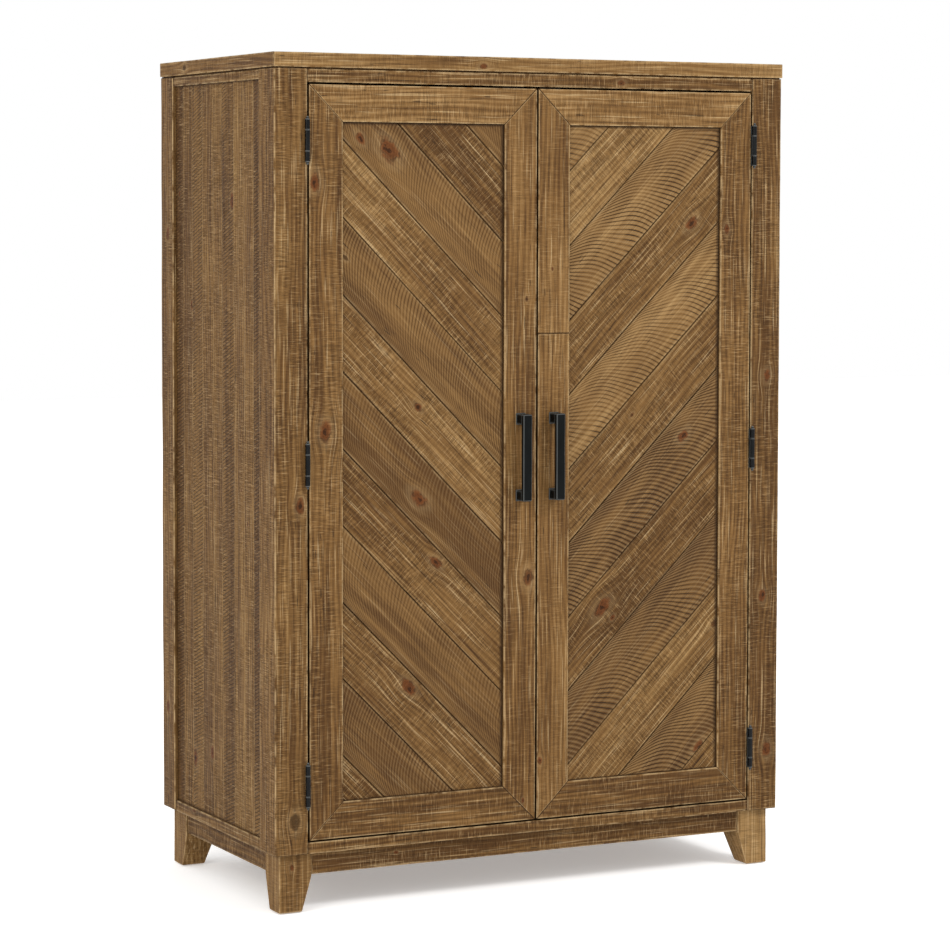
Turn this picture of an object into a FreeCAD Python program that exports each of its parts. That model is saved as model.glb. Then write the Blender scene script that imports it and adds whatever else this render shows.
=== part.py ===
import FreeCAD, Part
import math
import os

from FreeCAD import Vector

# Two-door pine armoire: a post-and-rail case on tapered feet, with two inset chevron-plank doors.
#
# X runs to the right seen from the front, Y from the doors to the back, and Z up from the floor.
# The origin is on the floor, in the middle of the overall width and depth, handles included.
# Every length is in millimetres. Left-hand pieces are drawn; right-hand ones are their mirror image.

# ---- case ----
CASE_WIDTH = 1118.0
CASE_DEPTH = 584.0
OVERALL_HEIGHT = 1638.0
BASE_HEIGHT = 115.0          # floor to the underside of the case
TOP_THICKNESS = 28.0
TOP_OVERHANG = 2.0           # past the posts at the front and the sides
POST_WIDTH = 68.0            # along X
FRONT_POST_DEPTH = 76.0      # along Y
BACK_POST_DEPTH = 64.0
RAIL_DEPTH = 45.0            # how far a rail reaches into the case
FRONT_TOP_RAIL_HEIGHT = 28.0
SIDE_TOP_RAIL_HEIGHT = 21.0
BOTTOM_RAIL_HEIGHT = 22.0
FRONT_RAIL_RECESS = 1.0      # rail face behind the post face
SIDE_RAIL_RECESS = 2.0
REVEAL_HEIGHT = 3.0          # shadow line between the front rail and the top
REVEAL_DEPTH = 4.0
TENON_LENGTH = 14.0
TENON_THICKNESS = 9.0
TENON_SHOULDER = 3.0         # above or below the tenon
TENON_SIDE_SHOULDER = 8.0
PANEL_THICKNESS = 16.0       # side panels
PANEL_RECESS = 7.5
PANEL_TONGUE = 8.0           # depth of the panel in its grooves
BACK_THICKNESS = 6.0
BACK_REBATE = 10.0
FLOOR_THICKNESS = 15.0
FLOOR_REBATE = 12.0
BOARD_CLEARANCE = 0.5        # around boards that are cut to fit between posts

# ---- inside ----
SHELF_THICKNESS = 18.0
HAT_SPACE_HEIGHT = 280.0     # clear height above the hat shelf
SHOE_SPACE_HEIGHT = 245.0    # clear height below the shoe shelf
SHELF_SETBACK = 8.0          # shelf edge behind the closed doors
CLEAT_SIZE = 20.0
ROD_RADIUS = 12.5
ROD_WALL = 1.5
ROD_DROP = 50.0              # rod centre below the hat shelf
ROD_END_CLEARANCE = 0.5
SOCKET_FLANGE_RADIUS = 27.0
SOCKET_FLANGE_THICKNESS = 4.0
SOCKET_CUP_RADIUS = 17.0
SOCKET_CUP_LENGTH = 16.0
SOCKET_CLEARANCE = 0.4
PIN_RADIUS = 2.5
PIN_HOLE_DEPTH = 11.0
PIN_SHANK = 10.0
PIN_REACH = 9.0
PIN_REACH_RADIUS = 3.5
PIN_CLEARANCE = 0.05
PIN_HOLE_PITCH = 32.0
PIN_HOLES_EACH_WAY = 2
PIN_BACK_INSET = 30.0
PIN_FRONT_INSET = 52.0

# ---- base ----
FOOT_INSET = 14.0            # front and sides
FOOT_BACK_INSET = 24.0
FOOT_TOP_SIZE = 68.5
FOOT_BOTTOM_SIZE = 48.0
FOOT_TAPER_RADIUS = 45.0
APRON_HEIGHT = 43.0
APRON_THICKNESS = 20.0
APRON_RECESS = 3.0
GLIDE_THICKNESS = 2.0
GLIDE_RADIUS = 11.0
GLIDE_NAIL_RADIUS = 1.4
GLIDE_NAIL_LENGTH = 14.0
BOLT_RADIUS = 4.0
BOLT_LENGTH = 100.0
BOLT_IN_FOOT = 55.0
BOLT_CLEARANCE = 0.1

# ---- doors ----
DOOR_GAP = 3.5
DOOR_THICKNESS = 22.0
FRAME_WIDTH = 70.0
PLANK_THICKNESS = 12.0
PLANK_RECESS = 5.0           # plank face behind the frame face
PLANK_TONGUE_IN_FRAME = 8.0
FRAME_GROOVE_DEPTH = 9.0
PLANK_WIDTH = 104.0          # from seam to seam, square to the boards
PLANK_SEAM_GAP = 0.6
PLANK_CHAMFER = 1.4
PLANK_TONGUE = 5.0
PLANK_TONGUE_THICKNESS = 3.0
PLANK_FIT = 0.3
LEFT_SEAM_DROP = 31.0        # top of the panel opening to the first seam on its hinge side
RIGHT_SEAM_DROP = 40.0

# ---- hinges: three-knuckle butt hinges with a proud barrel ----
HINGE_FROM_END = 106.0       # door end to the middle of the nearest hinge
HINGE_LENGTH = 80.0
END_KNUCKLE = 20.0
KNUCKLE_GAP = 0.4
BARREL_RADIUS = 4.7
HINGE_PIN_RADIUS = 2.2
HINGE_PIN_CLEARANCE = 0.05
PIN_OUT = 5.0                # hinge axis in front of the door face
PIN_OVER_POST = 2.0          # hinge axis over the post, past its inner face
LEAF_REACH = 20.0            # leaf edge behind the door face
CASE_LEAF_THICKNESS = 2.0
DOOR_LEAF_THICKNESS = 2.2
KNUCKLE_CLEARANCE = 0.3
FINIAL_COLLAR_RADIUS = 3.9
FINIAL_COLLAR_HEIGHT = 1.2
FINIAL_BALL_RADIUS = 2.6
LEAF_SCREW_PITCH = 28.0
LEAF_SCREW_INSET = 9.0       # from the leaf's back edge

# ---- screws ----
SCREW_RADIUS = 1.6
SCREW_HEAD_RADIUS = 3.2
SCREW_HEAD_DEPTH = 1.6
LEAF_SCREW_LENGTH = 16.0
TOP_SCREW_LENGTH = 42.0
TOP_SCREW_SPACING = 300.0
SCREW_CLEARANCE = 0.05

# ---- handles: square bar pulls ----
HANDLE_LENGTH = 170.0
HANDLE_WIDTH = 20.0
HANDLE_PROJECTION = 33.0
HANDLE_BAR_THICKNESS = 11.0
HANDLE_CHAMFER = 3.0
HANDLE_POST_WIDTH = 18.0     # along X
HANDLE_POST_HEIGHT = 20.0
HANDLE_FOOT_LIP = 1.5        # foot edge past the post
HANDLE_FOOT_THICKNESS = 3.0
HANDLE_FOOT_BEVEL = 1.0
HANDLE_SCREW_RADIUS = 2.0
HANDLE_SCREW_HEAD_RADIUS = 4.0
HANDLE_SCREW_HEAD = 2.5
HANDLE_SCREW_BITE = 10.0

# ---- magnetic catches ----
CATCH_WIDTH = 46.0
CATCH_DEPTH = 18.0
CATCH_HEIGHT = 14.0
CATCH_FROM_MIDDLE = 42.0
CATCH_AIR_GAP = 0.5
STRIKE_THICKNESS = 1.5
STRIKE_WIDTH = 38.0
STRIKE_HEIGHT = 13.0
STRIKE_FROM_TOP = 5.0

# ---- places worked out from the sizes ----
LEFT = -CASE_WIDTH / 2
FRONT = -(CASE_DEPTH + HANDLE_PROJECTION) / 2 + HANDLE_PROJECTION
BACK = FRONT + CASE_DEPTH
CASE_BOTTOM = BASE_HEIGHT
CASE_TOP = OVERALL_HEIGHT - TOP_THICKNESS
POST_INNER = LEFT + POST_WIDTH
PANEL_OUTER = LEFT + PANEL_RECESS
PANEL_INNER = PANEL_OUTER + PANEL_THICKNESS
FLOOR_TOP = CASE_BOTTOM + BOTTOM_RAIL_HEIGHT
DOOR_BACK = FRONT + DOOR_THICKNESS
DOOR_HINGE_SIDE = POST_INNER + DOOR_GAP
DOOR_MEETING_SIDE = -DOOR_GAP / 2
DOOR_BOTTOM = FLOOR_TOP + DOOR_GAP
DOOR_TOP = CASE_TOP - FRONT_TOP_RAIL_HEIGHT - DOOR_GAP
DOOR_MIDDLE = (DOOR_BOTTOM + DOOR_TOP) / 2
PANEL_HINGE_SIDE = DOOR_HINGE_SIDE + FRAME_WIDTH
PANEL_MEETING_SIDE = DOOR_MEETING_SIDE - FRAME_WIDTH
PANEL_BOTTOM = DOOR_BOTTOM + FRAME_WIDTH
PANEL_TOP = DOOR_TOP - FRAME_WIDTH
HINGE_X = POST_INNER - PIN_OVER_POST
HINGE_Y = FRONT - PIN_OUT
HINGE_HEIGHTS = (DOOR_TOP - HINGE_FROM_END, DOOR_MIDDLE, DOOR_BOTTOM + HINGE_FROM_END)
HAT_SHELF_TOP = CASE_TOP - HAT_SPACE_HEIGHT
SHOE_SHELF_TOP = FLOOR_TOP + SHOE_SPACE_HEIGHT + SHELF_THICKNESS
SHELF_FRONT = DOOR_BACK + SHELF_SETBACK
SHELF_BACK = BACK - BACK_THICKNESS - BOARD_CLEARANCE
ROD_HEIGHT = HAT_SHELF_TOP - SHELF_THICKNESS - ROD_DROP
ROD_Y = (DOOR_BACK + BACK) / 2
HANDLE_X = (DOOR_MEETING_SIDE + PANEL_MEETING_SIDE) / 2
PIN_Y = (FRONT + PIN_FRONT_INSET, BACK - PIN_BACK_INSET)
PIN_HEIGHT = SHOE_SHELF_TOP - SHELF_THICKNESS - PIN_REACH_RADIUS
X_AXIS, Y_AXIS, Z_AXIS = Vector(1, 0, 0), Vector(0, 1, 0), Vector(0, 0, 1)


def box(x0, x1, y0, y1, z0, z1):
    """A block between two opposite corners."""
    return Part.makeBox(x1 - x0, y1 - y0, z1 - z0, Vector(x0, y0, z0))


def prism(points, travel):
    """A solid with these corner points, pushed along travel."""
    face = Part.Face(Part.makePolygon([Vector(*p) for p in points] + [Vector(*points[0])]))
    return face.extrude(travel)


def fuse(first, *others):
    return first.multiFuse(list(others)).removeSplitter() if others else first


def cut_all(shape, tools):
    return shape.cut(list(tools)) if tools else shape


def mirrored(shape):
    """The same piece on the right-hand side."""
    return shape.mirror(Vector(0, 0, 0), X_AXIS)


def save(node, *shapes):
    """Writes one node from its solids."""
    solids = [solid for shape in shapes for solid in shape.Solids]
    whole = solids[0] if len(solids) == 1 else Part.makeCompound(solids)
    if not all(solid.isValid() and solid.Volume > 0 for solid in solids):
        raise ValueError(f"{node} has a bad solid")
    whole.exportStep(os.path.join("parts", node + ".step"))


def save_pair(left_node, right_node, *shapes):
    save(left_node, *shapes)
    save(right_node, *[mirrored(shape) for shape in shapes])


def both_sides(*shapes):
    """Left-hand pieces and their mirror images."""
    return list(shapes) + [mirrored(shape) for shape in shapes]


# ---- fasteners ----
def wood_screw(head, direction, length, clearance=0.0):
    """A countersunk screw whose flat head centre is at head and whose tip points along direction."""
    cone = Part.makeCone(SCREW_HEAD_RADIUS + clearance, SCREW_RADIUS + clearance, SCREW_HEAD_DEPTH,
                         head, direction)
    shank_start = head + direction * SCREW_HEAD_DEPTH
    tip_length = SCREW_RADIUS * 2
    shank_length = length - SCREW_HEAD_DEPTH - tip_length
    shank = Part.makeCylinder(SCREW_RADIUS + clearance, shank_length, shank_start, direction)
    tip = Part.makeCone(SCREW_RADIUS + clearance, 0.4 + clearance, tip_length + clearance,
                        shank_start + direction * shank_length, direction)
    return fuse(cone, shank, tip)


def leaf_screw_heights(hinge_height):
    return [hinge_height + step * LEAF_SCREW_PITCH for step in (-1, 0, 1)]


def leaf_screws(head_x, direction, clearance=0.0):
    """The screws of all three left-hand hinges, on the case or on the door."""
    y = FRONT + LEAF_REACH - LEAF_SCREW_INSET
    heights = [z for height in HINGE_HEIGHTS for z in leaf_screw_heights(height)]
    return [wood_screw(Vector(head_x, y, z), direction, LEAF_SCREW_LENGTH, clearance) for z in heights]


def case_leaf_screws(clearance=0.0):
    return leaf_screws(POST_INNER, -X_AXIS, clearance)


def door_leaf_screws(clearance=0.0):
    return leaf_screws(DOOR_HINGE_SIDE - DOOR_LEAF_THICKNESS, X_AXIS, clearance)


def top_screws(clearance=0.0):
    """Screws up through the front and back top rails into the top."""
    rows = (FRONT + RAIL_DEPTH * 0.6, BACK - RAIL_DEPTH * 0.6)
    z = CASE_TOP - FRONT_TOP_RAIL_HEIGHT
    return [wood_screw(Vector(x, y, z), Z_AXIS, TOP_SCREW_LENGTH, clearance)
            for y in rows for x in (-TOP_SCREW_SPACING, 0.0, TOP_SCREW_SPACING)]


# ---- rails and their tenons ----
def tenon_heights(z0, z1, at_top):
    """Tenons keep clear of the panel groove, so they sit towards the outside of the case."""
    if at_top:
        return z1 - TENON_SHOULDER - TENON_THICKNESS, z1 - TENON_SHOULDER
    return z0 + TENON_SHOULDER, z0 + TENON_SHOULDER + TENON_THICKNESS


def cross_rail(y0, y1, z0, z1, at_top):
    """A rail along X between two posts, with a tenon at each end."""
    low, high = tenon_heights(z0, z1, at_top)
    body = box(POST_INNER, -POST_INNER, y0, y1, z0, z1)
    tenon = box(POST_INNER - TENON_LENGTH, -POST_INNER + TENON_LENGTH,
                y0 + TENON_SIDE_SHOULDER, y1 - TENON_SIDE_SHOULDER, low, high)
    return fuse(body, tenon)


def side_rail(z0, z1, at_top):
    """A left-hand rail along Y between the front and the back post."""
    low, high = tenon_heights(z0, z1, at_top)
    x0 = LEFT + SIDE_RAIL_RECESS
    y0, y1 = FRONT + FRONT_POST_DEPTH, BACK - BACK_POST_DEPTH
    body = box(x0, x0 + RAIL_DEPTH, y0, y1, z0, z1)
    tenon = box(x0 + TENON_SIDE_SHOULDER, x0 + RAIL_DEPTH - TENON_SIDE_SHOULDER,
                y0 - TENON_LENGTH, y1 + TENON_LENGTH, low, high)
    return fuse(body, tenon)


def front_top_rail():
    y0 = FRONT + FRONT_RAIL_RECESS
    rail = cross_rail(y0, y0 + RAIL_DEPTH, CASE_TOP - FRONT_TOP_RAIL_HEIGHT, CASE_TOP, True)
    reveal = box(POST_INNER, -POST_INNER, y0, y0 + REVEAL_DEPTH, CASE_TOP - REVEAL_HEIGHT, CASE_TOP)
    return cut_all(rail, [reveal] + top_screws(SCREW_CLEARANCE))


def back_top_rail():
    rail = cross_rail(BACK - RAIL_DEPTH, BACK, CASE_TOP - FRONT_TOP_RAIL_HEIGHT, CASE_TOP, True)
    return cut_all(rail, [back_panel()] + top_screws(SCREW_CLEARANCE))


def front_bottom_rail():
    y0 = FRONT + FRONT_RAIL_RECESS
    return cross_rail(y0, y0 + RAIL_DEPTH, CASE_BOTTOM, FLOOR_TOP, False).cut(floor_blank())


def back_bottom_rail():
    rail = cross_rail(BACK - RAIL_DEPTH, BACK, CASE_BOTTOM, FLOOR_TOP, False)
    return cut_all(rail, [back_panel(), floor_blank()])


def left_top_rail():
    return side_rail(CASE_TOP - SIDE_TOP_RAIL_HEIGHT, CASE_TOP, True).cut(left_side_panel())


def left_bottom_rail():
    rail = side_rail(CASE_BOTTOM, FLOOR_TOP, False)
    return cut_all(rail, [left_side_panel(), floor_blank()])


# ---- panels and boards ----
def left_side_panel():
    return box(PANEL_OUTER, PANEL_INNER,
               FRONT + FRONT_POST_DEPTH - PANEL_TONGUE, BACK - BACK_POST_DEPTH + PANEL_TONGUE,
               FLOOR_TOP - PANEL_TONGUE, CASE_TOP - SIDE_TOP_RAIL_HEIGHT + PANEL_TONGUE)


def back_panel():
    return box(POST_INNER - BACK_REBATE, -POST_INNER + BACK_REBATE, BACK - BACK_THICKNESS, BACK,
               FLOOR_TOP - BACK_REBATE, CASE_TOP - FRONT_TOP_RAIL_HEIGHT + BACK_REBATE)


def post_blocks(clearance):
    """The four posts as plain blocks, grown by a clearance, for notching boards."""
    c = clearance
    front = box(LEFT - c, POST_INNER + c, FRONT - c, FRONT + FRONT_POST_DEPTH + c, 0, OVERALL_HEIGHT)
    back = box(LEFT - c, POST_INNER + c, BACK - BACK_POST_DEPTH - c, BACK + c, 0, OVERALL_HEIGHT)
    return both_sides(front, back)


def floor_blank():
    x = LEFT + SIDE_RAIL_RECESS + RAIL_DEPTH - FLOOR_REBATE
    y0 = FRONT + FRONT_RAIL_RECESS + RAIL_DEPTH - FLOOR_REBATE
    return box(x, -x, y0, BACK - RAIL_DEPTH + FLOOR_REBATE, FLOOR_TOP - FLOOR_THICKNESS, FLOOR_TOP)


def floor_panel():
    return cut_all(floor_blank(), post_blocks(BOARD_CLEARANCE))


def shelf(top):
    """A full-depth shelf, notched round the four posts."""
    x = PANEL_INNER + BOARD_CLEARANCE
    blank = box(x, -x, SHELF_FRONT, SHELF_BACK, top - SHELF_THICKNESS, top)
    return cut_all(blank, post_blocks(BOARD_CLEARANCE))


def left_cleat():
    """Carries one end of the hat shelf, fixed to the side panel between the posts."""
    top = HAT_SHELF_TOP - SHELF_THICKNESS
    return box(PANEL_INNER, PANEL_INNER + CLEAT_SIZE, FRONT + FRONT_POST_DEPTH, BACK - BACK_POST_DEPTH,
               top - CLEAT_SIZE, top)


def top_slab():
    edge = LEFT - TOP_OVERHANG
    slab = box(edge, -edge, FRONT - TOP_OVERHANG, BACK, CASE_TOP, OVERALL_HEIGHT)
    return cut_all(slab, top_screws(SCREW_CLEARANCE))


# ---- posts ----
def foot_centre_over_post(front):
    """The middle of the overlap between the foot and the post above it."""
    x = (LEFT + FOOT_INSET + min(POST_INNER, LEFT + FOOT_INSET + FOOT_TOP_SIZE)) / 2
    if front:
        far = min(FRONT + FRONT_POST_DEPTH, FRONT + FOOT_INSET + FOOT_TOP_SIZE)
        return x, (FRONT + FOOT_INSET + far) / 2
    near = max(BACK - BACK_POST_DEPTH, BACK - FOOT_BACK_INSET - FOOT_TOP_SIZE)
    return x, (near + BACK - FOOT_BACK_INSET) / 2


def foot_bolt(front, clearance=0.0):
    x, y = foot_centre_over_post(front)
    start = Vector(x, y, CASE_BOTTOM - BOLT_IN_FOOT - clearance)
    return Part.makeCylinder(BOLT_RADIUS + clearance, BOLT_LENGTH + 2 * clearance, start, Z_AXIS)


def pin_holes(y):
    """A short row of shelf-pin holes in the inner face of a left-hand post."""
    steps = range(-PIN_HOLES_EACH_WAY, PIN_HOLES_EACH_WAY + 1)
    return [Part.makeCylinder(PIN_RADIUS + PIN_CLEARANCE, PIN_HOLE_DEPTH,
                              Vector(POST_INNER, y, PIN_HEIGHT + step * PIN_HOLE_PITCH), -X_AXIS)
            for step in steps]


def shelf_pin(y):
    shank = Part.makeCylinder(PIN_RADIUS, PIN_SHANK, Vector(POST_INNER, y, PIN_HEIGHT), -X_AXIS)
    reach = Part.makeCylinder(PIN_REACH_RADIUS, PIN_REACH, Vector(POST_INNER, y, PIN_HEIGHT), X_AXIS)
    return fuse(shank, reach)


def front_left_post():
    blank = box(LEFT, POST_INNER, FRONT, FRONT + FRONT_POST_DEPTH, CASE_BOTTOM, CASE_TOP)
    rails = [front_top_rail(), front_bottom_rail(), left_top_rail(), left_bottom_rail()]
    fittings = pin_holes(PIN_Y[0]) + case_leaf_screws(SCREW_CLEARANCE) + case_leaf_pockets()
    return cut_all(blank, rails + [left_side_panel(), foot_bolt(True, BOLT_CLEARANCE)] + fittings)


def back_left_post():
    blank = box(LEFT, POST_INNER, BACK - BACK_POST_DEPTH, BACK, CASE_BOTTOM, CASE_TOP)
    rails = [back_top_rail(), back_bottom_rail(), left_top_rail(), left_bottom_rail()]
    panels = [left_side_panel(), back_panel()]
    return cut_all(blank, rails + panels + [foot_bolt(False, BOLT_CLEARANCE)] + pin_holes(PIN_Y[1]))


# ---- base ----
def taper_profile(outer, inward, place):
    """Outline of a foot seen square on: straight outside, eased into a taper inside.

    outer is the outside face, inward is 1 or -1, and place turns (across, height) into a point.
    """
    start = CASE_BOTTOM - APRON_HEIGHT
    narrowing = FOOT_TOP_SIZE - FOOT_BOTTOM_SIZE
    angle = math.atan(narrowing / (start - GLIDE_THICKNESS))
    run = FOOT_TAPER_RADIUS * math.tan(angle / 2)

    def at(across, height):
        return place(outer + inward * across, height)

    arc_top = at(FOOT_TOP_SIZE, start + run)
    arc_bottom = at(FOOT_TOP_SIZE - run * math.sin(angle), start - run * math.cos(angle))
    middle = at(FOOT_TOP_SIZE - FOOT_TAPER_RADIUS * (1 - math.cos(angle / 2)),
                start + run - FOOT_TAPER_RADIUS * math.sin(angle / 2))
    corners = [arc_bottom, at(FOOT_BOTTOM_SIZE, GLIDE_THICKNESS), at(0, GLIDE_THICKNESS),
               at(0, CASE_BOTTOM), at(FOOT_TOP_SIZE, CASE_BOTTOM), arc_top]
    lines = [Part.LineSegment(a, b).toShape() for a, b in zip(corners, corners[1:])]
    curve = Part.Arc(arc_top, middle, arc_bottom).toShape()
    return Part.Face(Part.Wire(lines + [curve]))


def foot(front):
    """A left-hand foot: the overlap of its two tapered outlines."""
    x = LEFT + FOOT_INSET
    y, inward = (FRONT + FOOT_INSET, 1) if front else (BACK - FOOT_BACK_INSET, -1)
    seen_from_front = taper_profile(x, 1, lambda a, z: Vector(a, FRONT, z)).extrude(Y_AXIS * CASE_DEPTH)
    seen_from_side = taper_profile(y, inward, lambda a, z: Vector(LEFT, a, z)).extrude(X_AXIS * CASE_WIDTH)
    block = seen_from_front.common(seen_from_side)
    return cut_all(block, [foot_bolt(front, BOLT_CLEARANCE), glide_nail(front, BOLT_CLEARANCE)])


def glide_centre(front):
    x = LEFT + FOOT_INSET + FOOT_BOTTOM_SIZE / 2
    y = FRONT + FOOT_INSET + FOOT_BOTTOM_SIZE / 2 if front else BACK - FOOT_BACK_INSET - FOOT_BOTTOM_SIZE / 2
    return x, y


def glide_nail(front, clearance=0.0):
    x, y = glide_centre(front)
    return Part.makeCylinder(GLIDE_NAIL_RADIUS + clearance, GLIDE_NAIL_LENGTH + clearance,
                             Vector(x, y, GLIDE_THICKNESS), Z_AXIS)


def glide(front):
    x, y = glide_centre(front)
    disc = Part.makeCylinder(GLIDE_RADIUS, GLIDE_THICKNESS, Vector(x, y, 0), Z_AXIS)
    return fuse(disc, glide_nail(front))


def front_apron():
    x = LEFT + FOOT_INSET + FOOT_TOP_SIZE
    y = FRONT + FOOT_INSET + APRON_RECESS
    return box(x, -x, y, y + APRON_THICKNESS, CASE_BOTTOM - APRON_HEIGHT, CASE_BOTTOM)


def back_apron():
    x = LEFT + FOOT_INSET + FOOT_TOP_SIZE
    y = BACK - FOOT_BACK_INSET - APRON_RECESS
    return box(x, -x, y - APRON_THICKNESS, y, CASE_BOTTOM - APRON_HEIGHT, CASE_BOTTOM)


def left_apron():
    x = LEFT + FOOT_INSET + APRON_RECESS
    y0, y1 = FRONT + FOOT_INSET + FOOT_TOP_SIZE, BACK - FOOT_BACK_INSET - FOOT_TOP_SIZE
    return box(x, x + APRON_THICKNESS, y0, y1, CASE_BOTTOM - APRON_HEIGHT, CASE_BOTTOM)


# ---- hanging rod ----
def rod_socket():
    """Left-hand flange and cup for the end of the rod."""
    centre = Vector(PANEL_INNER, ROD_Y, ROD_HEIGHT)
    flange = Part.makeCylinder(SOCKET_FLANGE_RADIUS, SOCKET_FLANGE_THICKNESS, centre, X_AXIS)
    cup = Part.makeCylinder(SOCKET_CUP_RADIUS, SOCKET_FLANGE_THICKNESS + SOCKET_CUP_LENGTH, centre, X_AXIS)
    bore = Part.makeCylinder(ROD_RADIUS + SOCKET_CLEARANCE, SOCKET_CUP_LENGTH,
                             centre + X_AXIS * SOCKET_FLANGE_THICKNESS, X_AXIS)
    return fuse(flange, cup).cut(bore)


def hanging_rod():
    start = PANEL_INNER + SOCKET_FLANGE_THICKNESS + ROD_END_CLEARANCE
    place = Vector(start, ROD_Y, ROD_HEIGHT)
    tube = Part.makeCylinder(ROD_RADIUS, -2 * start, place, X_AXIS)
    return tube.cut(Part.makeCylinder(ROD_RADIUS - ROD_WALL, -2 * start, place, X_AXIS))


# ---- hinges ----
def barrel(z0, z1, radius):
    return Part.makeCylinder(radius, z1 - z0, Vector(HINGE_X, HINGE_Y, z0), Z_AXIS)


def knuckle_heights(height):
    """(case knuckles, door knuckle) of a hinge, as (low, high) pairs."""
    low, high = height - HINGE_LENGTH / 2, height + HINGE_LENGTH / 2
    ends = [(low, low + END_KNUCKLE - KNUCKLE_GAP / 2), (high - END_KNUCKLE + KNUCKLE_GAP / 2, high)]
    return ends, (low + END_KNUCKLE + KNUCKLE_GAP / 2, high - END_KNUCKLE - KNUCKLE_GAP / 2)


def pin_bore(height):
    return barrel(height - HINGE_LENGTH, height + HINGE_LENGTH, HINGE_PIN_RADIUS + HINGE_PIN_CLEARANCE)


def case_leaf_plate(height):
    """The part of the case leaf that is let into the post."""
    return box(HINGE_X, POST_INNER, FRONT, FRONT + LEAF_REACH,
               height - HINGE_LENGTH / 2, height + HINGE_LENGTH / 2)


def case_leaf_pockets():
    return [case_leaf_plate(height) for height in HINGE_HEIGHTS]


def case_hinge_leaf(height):
    ends, _ = knuckle_heights(height)
    knuckles = [barrel(low, high, BARREL_RADIUS) for low, high in ends]
    necks = [box(HINGE_X, HINGE_X + CASE_LEAF_THICKNESS, HINGE_Y, FRONT, low, high) for low, high in ends]
    leaf = fuse(case_leaf_plate(height), *knuckles, *necks)
    return cut_all(leaf, [pin_bore(height)] + case_leaf_screws(SCREW_CLEARANCE))


def door_hinge_leaf(height):
    _, (low, high) = knuckle_heights(height)
    x0, x1 = DOOR_HINGE_SIDE - DOOR_LEAF_THICKNESS, DOOR_HINGE_SIDE
    reach = BARREL_RADIUS + KNUCKLE_CLEARANCE
    clear_y = HINGE_Y + math.sqrt(max(reach ** 2 - (x0 - HINGE_X) ** 2, 0)) + KNUCKLE_CLEARANCE
    plate = box(x0, x1, clear_y, FRONT + LEAF_REACH, height - HINGE_LENGTH / 2, height + HINGE_LENGTH / 2)
    neck = box(x0, x1, HINGE_Y, clear_y, low, high)
    leaf = fuse(plate, neck, barrel(low, high, BARREL_RADIUS))
    return cut_all(leaf, [pin_bore(height)] + door_leaf_screws(SCREW_CLEARANCE))


def hinge_pin(height):
    """A loose pin with a collar and a small ball at each end."""
    pieces = [barrel(height - HINGE_LENGTH / 2, height + HINGE_LENGTH / 2, HINGE_PIN_RADIUS)]
    for up in (-1, 1):
        end = Vector(HINGE_X, HINGE_Y, height + up * HINGE_LENGTH / 2)
        pieces.append(Part.makeCylinder(FINIAL_COLLAR_RADIUS, FINIAL_COLLAR_HEIGHT, end, Z_AXIS * up))
        ball = end + Z_AXIS * up * (FINIAL_COLLAR_HEIGHT + FINIAL_BALL_RADIUS * 0.7)
        pieces.append(Part.makeSphere(FINIAL_BALL_RADIUS, ball))
    return fuse(*pieces)


# ---- doors, drawn on the left ----
def frame_member(corners):
    """A mitred frame piece with the groove for the planks; corners are (x, z) pairs."""
    blank = prism([(x, FRONT, z) for x, z in corners], Y_AXIS * DOOR_THICKNESS)
    deep = FRAME_GROOVE_DEPTH
    groove = box(PANEL_HINGE_SIDE - deep, PANEL_MEETING_SIDE + deep, FRONT + PLANK_RECESS,
                 FRONT + PLANK_RECESS + PLANK_THICKNESS,
                 PANEL_BOTTOM - deep, PANEL_TOP + deep)
    return blank.cut(groove)


def door_corners():
    """(outer, inner) corners of the door frame, from the lower hinge corner round."""
    outer = [(DOOR_HINGE_SIDE, DOOR_BOTTOM), (DOOR_MEETING_SIDE, DOOR_BOTTOM),
             (DOOR_MEETING_SIDE, DOOR_TOP), (DOOR_HINGE_SIDE, DOOR_TOP)]
    inner = [(PANEL_HINGE_SIDE, PANEL_BOTTOM), (PANEL_MEETING_SIDE, PANEL_BOTTOM),
             (PANEL_MEETING_SIDE, PANEL_TOP), (PANEL_HINGE_SIDE, PANEL_TOP)]
    return outer, inner


def frame_members():
    """Bottom rail, meeting stile, top rail and hinge stile."""
    outer, inner = door_corners()
    members = []
    for first in range(4):
        second = (first + 1) % 4
        members.append(frame_member([outer[first], outer[second], inner[second], inner[first]]))
    bottom_rail, meeting_stile, top_rail, hinge_stile = members
    meeting_stile = cut_all(meeting_stile, handle_screws(SCREW_CLEARANCE))
    hinge_stile = cut_all(hinge_stile, door_leaf_screws(SCREW_CLEARANCE))
    return bottom_rail, meeting_stile, top_rail, hinge_stile


def plank_section(across):
    """End view of a tongued and grooved plank: (distance from the seam, depth) pairs."""
    y0 = FRONT + PLANK_RECESS
    y1 = y0 + PLANK_THICKNESS
    middle = (y0 + y1) / 2
    half_tongue = PLANK_TONGUE_THICKNESS / 2
    half_groove = half_tongue + PLANK_FIT
    low, high = across + PLANK_SEAM_GAP / 2, across + PLANK_WIDTH - PLANK_SEAM_GAP / 2
    groove_end = low + PLANK_TONGUE + PLANK_FIT
    return [(low + PLANK_CHAMFER, y0), (high - PLANK_CHAMFER, y0), (high, y0 + PLANK_CHAMFER),
            (high, middle - half_tongue), (high + PLANK_TONGUE, middle - half_tongue),
            (high + PLANK_TONGUE, middle + half_tongue), (high, middle + half_tongue), (high, y1),
            (low, y1), (low, middle + half_groove), (groove_end, middle + half_groove),
            (groove_end, middle - half_groove), (low, middle - half_groove), (low, y0 + PLANK_CHAMFER)]


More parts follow.
